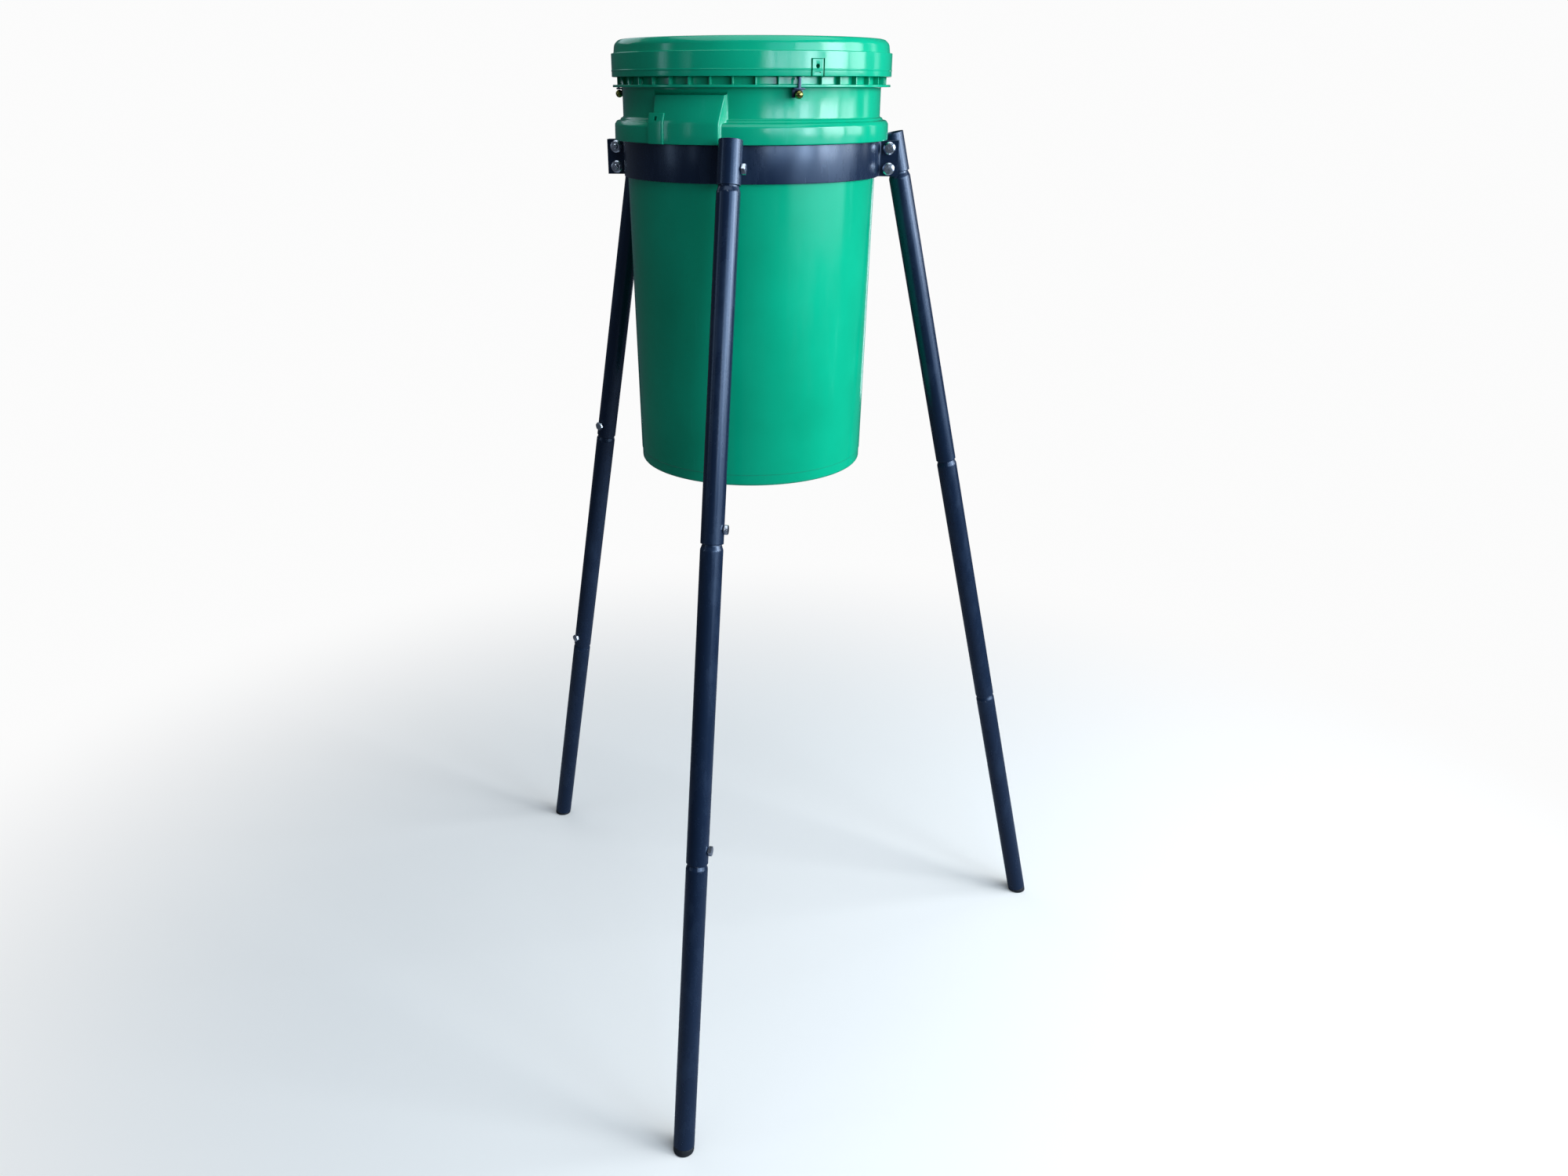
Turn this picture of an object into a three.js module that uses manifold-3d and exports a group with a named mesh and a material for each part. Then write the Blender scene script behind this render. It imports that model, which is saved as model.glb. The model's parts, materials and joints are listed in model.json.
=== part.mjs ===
// A screw-lid pail held in a clamp band on three sectional tube legs, for scattering feed.
// Millimetres, +Z up, feet on Z = 0, front leg towards -Y.
// An azimuth is measured from -Y towards +X, so it runs counter-clockwise seen from above.

import * as THREE from "three";
import { mergeVertices } from "three/addons/utils/BufferGeometryUtils.js";
import Module from "manifold-3d";

const wasm = await Module();
wasm.setup();

const { degToRad } = THREE.MathUtils;

// ---- Driving dimensions -------------------------------------------------------------

const GAP = 0.3; // clearance between pieces that touch
const WALL = 2.6; // plastic wall of the pail
const ROUND_SEGMENTS = 48; // facets round the pail and lid
const TUBE_SEGMENTS = 16; // facets round a leg tube
const HOLE_SEGMENTS = 10; // facets round a bolt, stud or bolt hole

const CLEAR_OF_PART = 40; // how far a cutting tool runs past what it cuts

// Leg tubes. A section is the exposed length of one tube.
const leg = {
  radius: 12.7,
  wall: 1.5,
  neckRadius: 10.9,
  neckLength: 40,
  taper: 5,
  section: 368,
  sections: 3,
  shoulderGap: 1.5,
  lean: degToRad(13.22),
  swing: degToRad(-5.26), // the lean's direction, turned from straight outwards
  footDepth: 6, // rubber between the end of the lowest tube and the floor, on the axis
  footStem: 18, // how far the foot's stem goes up into the tube
};
const legs = [
  { name: "front", azimuth: 0 },
  { name: "right", azimuth: degToRad(110) },
  { name: "left", azimuth: degToRad(-120) },
];
const legLength = leg.section * leg.sections;

// Sockets on the band that hold the legs.
const socket = {
  length: 44,
  axisRadius: 179.5, // pail axis to socket axis, at the socket's lower end
  bottom: legLength * Math.cos(leg.lean),
  webThickness: 4,
};

// Clamp band: two half rings of flat bar with bolted ends.
const band = {
  innerRadius: 143,
  thickness: 3,
  height: 38,
  bottom: 1073.4,
  tabReach: 168,
  tabGap: 5,
  boltRadius: 157.5,
  boltSpread: 22,
};
band.outerRadius = band.innerRadius + band.thickness;
band.top = band.bottom + band.height;

// Pail.
const pail = {
  bottom: 740.3,
  floorUnder: 746,
  chime: 5, // width of the ring that the pail stands on
  bottomRadius: 137,
  radiusAtBand: band.innerRadius - 2 * GAP,
  shoulderBottom: band.top + GAP,
  shoulderRadius: 155,
  shoulderTop: 1132.2,
  shoulderEdge: 3,
  neckRadius: 145,
  neckBottom: 1135.8,
  ringBottom: 1166.1,
  ringTop: 1168.6,
  ringRadius: 155.3,
  rim: 1206,
  ribRadius: 150.7,
  ribTop: 1180,
  ribCount: 40,
  ribThickness: 1.8,
};

// Hand grips: wedges that run from the neck out to the shoulder.
const grip = {
  radius: 157.2,
  ledgeRadius: 148.2, // where the slope starts, at the top
  top: 1159.2,
  slopeBottom: 1133,
  azimuths: [degToRad(-19.4), degToRad(160.6)],
  spread: degToRad(34.4),
};

// Thread on the pail's mouth.
const thread = {
  starts: 3,
  sweep: degToRad(80),
  bottom: 1186,
  rise: 10,
  radius: 1.6,
  steps: 8,
  sides: 3,
};

// Lid.
const lid = {
  bottom: 1176.4,
  top: 1213.7,
  radius: 156,
  wall: 2.8,
  tierRadius: 152.6,
  tierBottom: 1199.5,
  panelTop: 1208.7,
  panelRadius: 131,
  rimInset: 16,
  beadHeight: 1182.8,
  beadProud: 0.5,
  edge: 5.5,
};
lid.panelUnder = lid.panelTop - lid.wall;
lid.rimUnder = lid.top - lid.wall;

// Spring lock tab in the lid's skirt.
const tab = {
  azimuth: degToRad(32.8),
  width: 13.4,
  slit: 1.1,
  top: 1193,
  inner: 151, // how far in, from the pail's axis, the opening is cut
  holeRadius: 2.2,
  holeHeight: 1185.8,
};

// Clips that hook round the pail's ring, each with a ball stud.
const clip = {
  azimuths: [25.3, 145.3, -94.7].map(degToRad),
  jawWidth: 12,
  jawInner: 149.5,
  jawOuter: 151.5,
  jawBottom: 1156.5,
  plate: 2,
  reach: 157.7,
  strapWidth: 4,
  strapTop: 1175.9,
  upperInner: 151.4,
  ballRadius: 4.2,
  ballCentre: 156,
  ballHeight: 1159.4,
  stemRadius: 1.8,
};

// Outlet under the pail.
const outlet = {
  bore: 17,
  wall: 3,
  flangeRadius: 32,
  flangeThickness: 3,
  bottom: 722,
  nutRadius: 29,
  nutThickness: 7,
  funnelTop: 862,
  funnelWall: 2,
  gateThickness: 2.5,
  gateOverlap: 4,
  pivotOffset: 30,
  pivotRadius: 2.5,
  pinHeadHeight: 2,
  lugRadius: 6,
  lugThickness: 5,
  armHalfWidth: 4,
  tailHalfWidth: 6,
  tailLength: 14,
};

// Bolts: the clamp bolts, and the set screws that lock the legs.
const bolt = {
  radius: 3,
  acrossFlats: 10,
  headHeight: 4,
  flangeRadius: 6.8,
  flangeHeight: 1.4,
  nutHeight: 5,
  tip: 2,
};
const setScrew = { height: 16, headHeight: 4.2 }; // height above the lower end of the tube it locks
const HOLE_CLEARANCE = 0.3;

// ---- Materials ----------------------------------------------------------------------

function material(color, roughness, metalness) {
  return new THREE.MeshStandardMaterial({ color, roughness, metalness });
}

const greenPlastic = material(0x0a9b6c, 0.25, 0);
const funnelPlastic = material(0x2a2d2b, 0.5, 0);
const blackPaint = material(0x14161c, 0.3, 0.1);
const zinc = material(0xc9d2da, 0.3, 1);
const brass = material(0xb89a3c, 0.35, 1);
const rubber = material(0x17181a, 0.8, 0);

// ---- Solid modelling helpers --------------------------------------------------------

const part = new THREE.Group();

// A closed geometry as a Manifold solid.
function toSolid(geometry) {
  const bare = new THREE.BufferGeometry();
  bare.setAttribute("position", geometry.getAttribute("position"));
  bare.setIndex(geometry.index);
  const merged = mergeVertices(bare);
  const mesh = new wasm.Mesh({
    numProp: 3,
    vertProperties: new Float32Array(merged.getAttribute("position").array),
    triVerts: new Uint32Array(merged.index.array),
  });
  return new wasm.Manifold(mesh);
}

function toGeometry(solid) {
  const mesh = solid.getMesh();
  const geometry = new THREE.BufferGeometry();
  geometry.setAttribute("position", new THREE.BufferAttribute(mesh.vertProperties, 3));
  geometry.setIndex(new THREE.BufferAttribute(mesh.triVerts, 1));
  geometry.computeVertexNormals();
  return geometry;
}

function join(first, ...others) {
  return toGeometry(others.reduce((sum, other) => sum.add(toSolid(other)), toSolid(first)));
}

function cut(first, ...tools) {
  return toGeometry(tools.reduce((rest, tool) => rest.subtract(toSolid(tool)), toSolid(first)));
}

function common(first, second) {
  return toGeometry(toSolid(first).intersect(toSolid(second)));
}

// A ring or a turned solid about +Z. The outline [radius, height] runs counter-clockwise.
function turned(outline, segments) {
  const points = outline.map(([radius, height]) => new THREE.Vector2(radius, height));
  const onAxis = points[0].x === 0 && points.at(-1).x === 0;
  if (!onAxis) points.push(points[0].clone());
  return new THREE.LatheGeometry(points, segments).rotateX(Math.PI / 2);
}

function box(sizeX, sizeY, sizeZ, x, y, z) {
  return new THREE.BoxGeometry(sizeX, sizeY, sizeZ).translate(x, y, z);
}

// A box given by its limits along each axis.
function span([x0, x1], [y0, y1], [z0, z1]) {
  return box(x1 - x0, y1 - y0, z1 - z0, (x0 + x1) / 2, (y0 + y1) / 2, (z0 + z1) / 2);
}

// A cylinder or regular prism about +X, from x0 to x1.
function rodX(radius, x0, x1, segments) {
  const rod = new THREE.CylinderGeometry(radius, radius, x1 - x0, segments);
  return rod.rotateZ(-Math.PI / 2).translate((x0 + x1) / 2, 0, 0);
}

// The same about +Z, from z0 to z1.
function rodZ(radius, z0, z1, segments) {
  const rod = new THREE.CylinderGeometry(radius, radius, z1 - z0, segments);
  return rod.rotateX(Math.PI / 2).translate(0, 0, (z0 + z1) / 2);
}

const hexRadius = (acrossFlats) => acrossFlats / Math.sqrt(3);

// A triangular prism about +Z that covers the azimuths from -spread/2 to +spread/2.
function wedge(spread, reach, z0, z1) {
  const halfWidth = reach * Math.tan(spread / 2);
  const shape = new THREE.Shape();
  shape.moveTo(0, 0);
  shape.lineTo(-halfWidth, -reach);
  shape.lineTo(halfWidth, -reach);
  return new THREE.ExtrudeGeometry(shape, { depth: z1 - z0, bevelEnabled: false }).translate(0, 0, z0);
}

// Names a sub-part and puts it in the model.
function add(name, geometry, finish, parent = part) {
  const mesh = new THREE.Mesh(geometry, finish);
  mesh.name = name;
  parent.add(mesh);
  return mesh;
}

// A frame turned to an azimuth: -Y runs outwards and +X counter-clockwise.
function frameAt(azimuth, parent = part) {
  const frame = new THREE.Group();
  frame.rotation.z = azimuth;
  parent.add(frame);
  return frame;
}

// ---- Pail ---------------------------------------------------------------------------

// The pail's wall: outside from the outlet hole up to the rim, then inside back down.
function pailShell() {
  const floorTop = pail.floorUnder + WALL;
  const inside = (radius) => radius - WALL;
  const hole = outlet.bore + outlet.wall + GAP;
  return turned(
    [
      [hole, pail.floorUnder],
      [pail.bottomRadius - 2 * pail.chime, pail.floorUnder],
      [pail.bottomRadius - pail.chime - 1, pail.bottom],
      [pail.bottomRadius - 2, pail.bottom],
      [pail.bottomRadius, pail.bottom + 2],
      [pail.radiusAtBand, pail.shoulderBottom],
      [pail.shoulderRadius, pail.shoulderBottom],
      [pail.shoulderRadius - pail.shoulderEdge / 3, pail.shoulderTop - pail.shoulderEdge * 0.7],
      [pail.shoulderRadius - pail.shoulderEdge, pail.shoulderTop],
      [pail.neckRadius, pail.neckBottom],
      [pail.neckRadius, pail.ringBottom],
      [pail.ringRadius, pail.ringBottom],
      [pail.ringRadius, pail.ringTop],
      [pail.neckRadius, pail.ringTop],
      [pail.neckRadius, pail.rim],
      [inside(pail.neckRadius), pail.rim],
      [inside(pail.neckRadius), pail.neckBottom - WALL],
      [inside(pail.shoulderRadius - pail.shoulderEdge), pail.shoulderTop - WALL],
      [inside(pail.shoulderRadius), pail.shoulderBottom + WALL],
      [inside(pail.radiusAtBand), pail.shoulderBottom + WALL],
      [inside(pail.bottomRadius), floorTop + 2],
      [inside(pail.bottomRadius) - 2, floorTop],
      [hole, floorTop],
    ],
    ROUND_SEGMENTS,
  );
}

function gripWedge(azimuth) {
  const root = pail.neckRadius - WALL / 2;
  const ring = turned(
    [
      [root, pail.shoulderBottom],
      [grip.radius, pail.shoulderBottom],
      [grip.radius - 0.6, grip.slopeBottom],
      [grip.ledgeRadius, grip.top],
      [root, grip.top],
    ],
    ROUND_SEGMENTS,
  );
  const sector = wedge(grip.spread, grip.radius + CLEAR_OF_PART, pail.shoulderBottom - 1, grip.top + 1);
  return common(ring, sector).rotateZ(azimuth);
}

// One of the stiffening ribs above the ring.
function rib(azimuth) {
  const half = pail.ribThickness / 2;
  const root = pail.neckRadius - WALL / 2;
  const blade = span([-half, half], [-pail.ribRadius, -root], [pail.ringTop - 1, pail.ribTop]);
  return blade.rotateZ(azimuth);
}

class Helix extends THREE.Curve {
  getPoint(t, target = new THREE.Vector3()) {
    const angle = t * thread.sweep;
    const radius = pail.neckRadius;
    return target.set(radius * Math.sin(angle), -radius * Math.cos(angle), thread.bottom + t * thread.rise);
  }
}

function threadStart(azimuth) {
  const section = new THREE.Shape();
  section.absarc(0, 0, thread.radius, 0, 2 * Math.PI);
  const helix = new THREE.ExtrudeGeometry(section, {
    extrudePath: new Helix(),
    steps: thread.steps,
    curveSegments: thread.sides,
  });
  return helix.rotateZ(azimuth);
}

// Azimuths evenly spaced round a whole turn.
function evenly(count) {
  return Array.from({ length: count }, (_, i) => (2 * Math.PI * i) / count);
}

function buildPail() {
  const ribs = evenly(pail.ribCount).map(rib);
  const starts = evenly(thread.starts).map(threadStart);
  const grips = grip.azimuths.map(gripWedge);
  add("pail_body", join(pailShell(), ...grips, ...ribs, ...starts), greenPlastic);
}

// ---- Lid ----------------------------------------------------------------------------

function lidShell() {
  const skirtInside = lid.radius - lid.wall;
  const tierInside = lid.tierRadius - lid.wall;
  const rimInside = lid.tierRadius - lid.rimInset;
  return turned(
    [
      [0, lid.panelUnder],
      [lid.panelRadius, lid.panelUnder],
      [lid.panelRadius + lid.wall, lid.rimUnder],
      [tierInside, lid.rimUnder],
      [tierInside, lid.tierBottom],
      [skirtInside, lid.tierBottom - lid.wall],
      [skirtInside, lid.bottom],
      [lid.radius, lid.bottom],
      [lid.radius, lid.beadHeight - 1],
      [lid.radius + lid.beadProud, lid.beadHeight],
      [lid.radius, lid.beadHeight + 1],
      [lid.radius, lid.tierBottom - 1],
      [lid.radius - 1, lid.tierBottom],
      [lid.tierRadius, lid.tierBottom + 1],
      [lid.tierRadius, lid.top - lid.edge],
      [lid.tierRadius - lid.edge * 0.3, lid.top - lid.edge * 0.3],
      [lid.tierRadius - lid.edge, lid.top],
      [rimInside, lid.top],
      [lid.panelRadius, lid.panelTop],
      [0, lid.panelTop],
    ],
    ROUND_SEGMENTS,
  );
}

// The opening in the skirt that the lock tab stands in.
function tabOpening() {
  const half = tab.width / 2 + tab.slit;
  const opening = span([-half, half], [-lid.radius - 2, -tab.inner], [lid.bottom - 1, tab.top]);
  return opening.rotateZ(tab.azimuth);
}

// The tab is a piece of the same skirt, with a round hole.
function lockTab() {
  const half = tab.width / 2;
  const ring = turned(
    [
      [lid.radius - lid.wall, lid.bottom],
      [lid.radius, lid.bottom],
      [lid.radius, tab.top - GAP],
      [lid.radius - lid.wall, tab.top - GAP],
    ],
    ROUND_SEGMENTS * 2,
  ).rotateZ(-tab.azimuth);
  const slab = span([-half, half], [-lid.radius - 1, -tab.inner], [lid.bottom - 1, tab.top]);
  const hole = rodX(tab.holeRadius, 0, lid.radius + 1, HOLE_SEGMENTS).rotateZ(-Math.PI / 2);
  return cut(common(ring, slab), hole.translate(0, 0, tab.holeHeight));
}

function gasket() {
  const inner = pail.neckRadius - WALL - 2;
  const outer = lid.tierRadius - lid.wall - 1;
  const bottom = pail.rim + GAP;
  const top = lid.rimUnder - GAP;
  return turned([[inner, bottom], [outer, bottom], [outer, top], [inner, top]], ROUND_SEGMENTS);
}

function buildLid() {
  add("lid", cut(lidShell(), tabOpening()), greenPlastic);
  add("lid_gasket", gasket(), rubber);
  add("lock_tab", lockTab(), greenPlastic, frameAt(tab.azimuth));
}

// ---- Ring clips ---------------------------------------------------------------------

function clipBody() {
  const jawTop = pail.ringBottom - GAP;
  const jawX = [-clip.jawWidth / 2, clip.jawWidth / 2];
  const strapX = [-clip.strapWidth / 2, clip.strapWidth / 2];
  const jaw = span(jawX, [-clip.jawOuter, -clip.jawInner], [clip.jawBottom, jawTop]);
  const shelf = span(jawX, [-clip.reach, -clip.jawInner], [jawTop - clip.plate, jawTop]);
  const strap = span(strapX, [-clip.reach, clip.plate - clip.reach], [jawTop - clip.plate, clip.strapTop]);
  const hook = span(strapX, [-clip.reach, -clip.upperInner], [clip.strapTop - clip.plate, clip.strapTop]);
  return join(jaw, shelf, strap, hook);
}

// A ball on a short stem, turned about +X and pointing outwards.
function ballStud() {
  const start = clip.jawOuter + GAP;
  const steps = 6;
  const neckAngle = Math.asin(clip.stemRadius / clip.ballRadius);
  const outline = [[0, start], [clip.stemRadius, start]];
  for (let i = 0; i <= steps; i++) {
    const angle = Math.PI - neckAngle - (i / steps) * (Math.PI - neckAngle);
    const radius = i === steps ? 0 : clip.ballRadius * Math.sin(angle);
    outline.push([radius, clip.ballCentre + clip.ballRadius * Math.cos(angle)]);
  }
  return turned(outline, HOLE_SEGMENTS).rotateX(Math.PI / 2).translate(0, 0, clip.ballHeight);
}

function buildClips() {
  clip.azimuths.forEach((azimuth, i) => {
    const frame = frameAt(azimuth);
    add(`ring_clip_${i + 1}`, clipBody(), blackPaint, frame);
    add(`ring_stud_${i + 1}`, ballStud(), brass, frame);
  });
}

// ---- Outlet -------------------------------------------------------------------------

function funnel() {
  const seat = pail.floorUnder + WALL + outlet.flangeThickness + 2 * GAP;
  const throat = outlet.bore;
  const topRadius = pail.bottomRadius - WALL - 0.5;
  return turned(
    [
      [throat, seat],
      [throat + outlet.funnelWall + 1, seat],
      [topRadius, outlet.funnelTop - outlet.funnelWall],
      [topRadius, outlet.funnelTop],
      [topRadius - outlet.funnelWall, outlet.funnelTop],
      [throat, seat + outlet.funnelWall],
    ],
    ROUND_SEGMENTS,
  );
}

// The spout: a flanged tube through the pail's floor, with a lug for the gate's pivot.
function outletCollar() {
  const outer = outlet.bore + outlet.wall;
  const flangeBottom = pail.floorUnder + WALL + GAP;
  const spout = turned(
    [
      [outlet.bore, outlet.bottom],
      [outer, outlet.bottom],
      [outer, flangeBottom],
      [outlet.flangeRadius, flangeBottom],
      [outlet.flangeRadius, flangeBottom + outlet.flangeThickness],
      [outlet.bore, flangeBottom + outlet.flangeThickness],
    ],
    ROUND_SEGMENTS / 2,
  );
  const lugTop = outlet.bottom + outlet.lugThickness;
  const lug = rodZ(outlet.lugRadius, outlet.bottom, lugTop, HOLE_SEGMENTS);
  lug.translate(0, outlet.pivotOffset, 0);
  const armX = [-outlet.armHalfWidth, outlet.armHalfWidth];
  const arm = span(armX, [outlet.bore + 1, outlet.pivotOffset], [outlet.bottom, lugTop]);
  const pinHole = rodZ(outlet.pivotRadius + GAP, outlet.bottom - 1, lugTop + 1, HOLE_SEGMENTS);
  return cut(join(spout, lug, arm), pinHole.translate(0, outlet.pivotOffset, 0));
}

function outletNut() {
  const top = pail.floorUnder - GAP;
  const inner = outlet.bore + outlet.wall + GAP;
  const shape = new THREE.Shape();
  const sides = 8;
  for (let i = 0; i < sides; i++) {
    const angle = (2 * Math.PI * i) / sides;
    const [x, y] = [outlet.nutRadius * Math.cos(angle), outlet.nutRadius * Math.sin(angle)];
    if (i === 0) shape.moveTo(x, y);
    else shape.lineTo(x, y);
  }
  const bore = new THREE.Path();
  bore.absarc(0, 0, inner, 0, 2 * Math.PI, true);
  shape.holes.push(bore);
  const depth = outlet.nutThickness;
  const curveSegments = ROUND_SEGMENTS / 4;
  const nut = new THREE.ExtrudeGeometry(shape, { depth, bevelEnabled: false, curveSegments });
  return nut.translate(0, 0, top - depth);
}

// A flat shutter under the spout that swings aside about a pin, with a finger tail.
function outletGate() {
  const top = outlet.bottom - GAP;
  const bottom = top - outlet.gateThickness;
  const plateRadius = outlet.bore + outlet.gateOverlap;
  const plate = rodZ(plateRadius, bottom, top, ROUND_SEGMENTS / 2);
  const hub = rodZ(outlet.lugRadius, bottom, top, HOLE_SEGMENTS).translate(0, outlet.pivotOffset, 0);
  const overlap = 3; // how far the arm and the tail run into the plate
  const armX = [-outlet.armHalfWidth, outlet.armHalfWidth];
  const tailX = [-outlet.tailHalfWidth, outlet.tailHalfWidth];
  const arm = span(armX, [plateRadius - overlap, outlet.pivotOffset], [bottom, top]);
  const tail = span(tailX, [-plateRadius - outlet.tailLength, overlap - plateRadius], [bottom, top]);
  const pinHole = rodZ(outlet.pivotRadius + GAP, bottom - 1, top + 1, HOLE_SEGMENTS);
  return cut(join(plate, hub, arm, tail), pinHole.translate(0, outlet.pivotOffset, 0));
}

// A headed pin, from below the gate to above the lug.
function gatePin() {
  const headRadius = outlet.pivotRadius + 2;
  const headTop = outlet.bottom - outlet.gateThickness - 2 * GAP;
  const headBottom = headTop - outlet.pinHeadHeight;
  const top = outlet.bottom + outlet.lugThickness + 2;
  const pin = turned(
    [
      [0, headBottom],
      [headRadius, headBottom],
      [headRadius, headTop],
      [outlet.pivotRadius, headTop],
      [outlet.pivotRadius, top],
      [0, top],
    ],
    HOLE_SEGMENTS,
  );
  return pin.translate(0, outlet.pivotOffset, 0);
}

function buildOutlet() {
  add("feed_funnel", funnel(), funnelPlastic);
  add("outlet_collar", outletCollar(), funnelPlastic);
  add("outlet_nut", outletNut(), funnelPlastic);
  add("outlet_gate", outletGate(), zinc);
  add("gate_pin", gatePin(), zinc);
}

// ---- Clamp band ---------------------------------------------------------------------

// Where the clamp bolts pass through the tabs on one side of the band.
function boltHeights() {
  const middle = band.bottom + band.height / 2;
  return [middle + band.boltSpread / 2, middle - band.boltSpread / 2];
}

// The front half: half a ring of flat bar with a tab turned out at each end.
function bandHalf() {
  const near = band.tabGap / 2;
  const far = near + band.thickness;
  const outerAngle = Math.asin(far / band.outerRadius);
  const innerAngle = Math.asin(near / band.innerRadius);
  const shape = new THREE.Shape();
  shape.moveTo(band.tabReach, -near);
  shape.lineTo(band.tabReach, -far);
  shape.absarc(0, 0, band.outerRadius, -outerAngle, Math.PI + outerAngle, true);
  shape.lineTo(-band.tabReach, -far);
  shape.lineTo(-band.tabReach, -near);
  shape.absarc(0, 0, band.innerRadius, Math.PI + innerAngle, -innerAngle, false);
  const curveSegments = ROUND_SEGMENTS / 2;
  const half = new THREE.ExtrudeGeometry(shape, { depth: band.height, bevelEnabled: false, curveSegments });
  half.translate(0, 0, band.bottom);
  const holes = [-band.boltRadius, band.boltRadius].flatMap((x) => boltHeights().map((z) => boltHole(x, z)));
  return cut(half, ...holes);
}

function boltHole(x, z) {
  const reach = band.tabGap + band.thickness;
  const hole = rodX(bolt.radius + HOLE_CLEARANCE, -reach, reach, HOLE_SEGMENTS).rotateZ(Math.PI / 2);
  return hole.translate(x, 0, z);
}

// A flanged hex bolt about +X, with its bearing face at x = 0 and its head towards +X.
function flangedBolt(shankLength) {
  const shank = rodX(bolt.radius, -shankLength, bolt.flangeHeight / 2, HOLE_SEGMENTS);
  const flange = rodX(bolt.flangeRadius, 0, bolt.flangeHeight, HOLE_SEGMENTS * 2);
  const headTop = bolt.flangeHeight + bolt.headHeight;
  const head = rodX(hexRadius(bolt.acrossFlats), bolt.flangeHeight / 2, headTop, 6);
  return join(shank, flange, head);
}

// A flanged hex nut about +X, with its bearing face at x = 0.
function flangedNut() {
  const flange = rodX(bolt.flangeRadius, 0, bolt.flangeHeight, HOLE_SEGMENTS * 2);
  const hex = rodX(hexRadius(bolt.acrossFlats), bolt.flangeHeight / 2, bolt.nutHeight, 6);
  const bore = rodX(bolt.radius + HOLE_CLEARANCE, -1, bolt.nutHeight + 1, HOLE_SEGMENTS);
  return cut(join(flange, hex), bore);
}

// The two bolts and nuts of one side. headSide is -1 where the heads face forwards.
function buildClampBolts(side, x, headSide) {
  const stack = band.tabGap / 2 + band.thickness + GAP;
  const shankLength = 2 * stack + bolt.nutHeight + bolt.tip;
  const place = (mesh, direction, z) => {
    mesh.position.set(x, direction * stack, z);
    mesh.rotation.z = (direction * Math.PI) / 2;
  };
  boltHeights().forEach((z, i) => {
    const row = i === 0 ? "upper" : "lower";
    place(add(`clamp_bolt_${side}_${row}`, flangedBolt(shankLength), zinc), headSide, z);
    place(add(`clamp_nut_${side}_${row}`, flangedNut(), zinc), -headSide, z);
  });
}

function buildBand() {
  add("band_front", bandHalf(), blackPaint);
  add("band_rear", bandHalf(), blackPaint).rotation.z = Math.PI;
  buildClampBolts("right", band.boltRadius, -1);
  buildClampBolts("left", -band.boltRadius, 1);
}

// ---- Legs ---------------------------------------------------------------------------

// A leg's frame: the origin at its socket's lower end, -Z down the leg, +X counter-clockwise.
function legFrame(azimuth) {
  const frame = new THREE.Group();
  const radius = socket.axisRadius;
  frame.position.set(radius * Math.sin(azimuth), -radius * Math.cos(azimuth), socket.bottom);
  frame.rotation.set(-leg.lean, 0, azimuth + leg.swing, "ZXY");
  frame.updateMatrixWorld();
  return frame;
}

// The hole for a set screw, in the counter-clockwise side of a tube that ends at z = 0.
function screwHole() {
  const hole = rodX(bolt.radius + HOLE_CLEARANCE, leg.neckRadius / 2, leg.radius + 2, HOLE_SEGMENTS);
  return hole.translate(0, 0, setScrew.height);
}

function legTube() {
  const inner = leg.radius - leg.wall;
  const neckInner = leg.neckRadius - leg.wall;
  const shoulder = leg.section - leg.shoulderGap;
  return turned(
    [
      [inner, 0],
      [leg.radius, 0],
      [leg.radius, shoulder - leg.taper],
      [leg.neckRadius, shoulder],
      [leg.neckRadius, leg.section + leg.neckLength],
      [neckInner, leg.section + leg.neckLength],
      [neckInner, shoulder],
      [inner, shoulder - leg.taper],
    ],
    TUBE_SEGMENTS,
  );
}

// The lowest tube is shorter by the foot and has no screw hole.
function lowestTube() {
  const below = rodZ(leg.radius + 1, -1, leg.footDepth, TUBE_SEGMENTS);
  return cut(legTube(), below);
}

// A hex set screw about +X that stops just short of the neck it presses on.
function legScrew() {
  const seat = leg.radius + GAP;
  const shank = rodX(bolt.radius, leg.neckRadius + GAP, seat + 1, HOLE_SEGMENTS);
  const head = rodX(hexRadius(bolt.acrossFlats), seat, seat + setScrew.headHeight, 6);
  return join(shank, head).translate(0, 0, setScrew.height);
}

// The socket tube and the web that stands it off the band, in the part's frame.
function legSocket(azimuth, frame) {
  const inner = leg.radius - leg.wall;
  const tube = rodZ(leg.radius, 0, socket.length, TUBE_SEGMENTS).applyMatrix4(frame.matrix);
  const bore = rodZ(inner, -1, socket.length + 1, TUBE_SEGMENTS).applyMatrix4(frame.matrix);
  const hole = screwHole().applyMatrix4(frame.matrix);
  const rise = band.height - 2;
  const bottom = band.bottom + 1;
  const axisAt = (z) => socket.axisRadius - (z - socket.bottom) * Math.tan(leg.lean);
  const side = new THREE.Shape();
  side.moveTo(band.outerRadius + GAP, bottom);
  side.lineTo(axisAt(bottom) - leg.radius / 2, bottom + 2);
  side.lineTo(axisAt(bottom + rise) - leg.radius / 2, bottom + rise);
  side.lineTo(band.outerRadius + GAP, bottom + rise);
  const web = new THREE.ExtrudeGeometry(side, { depth: socket.webThickness, bevelEnabled: false });
  // The outline's x runs outwards and its y upwards: stand it up, then turn it to the azimuth.
  web.translate(0, 0, -socket.webThickness / 2).rotateX(Math.PI / 2).rotateZ(azimuth - Math.PI / 2);
  return cut(join(tube, web), bore, hole);
}

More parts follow.
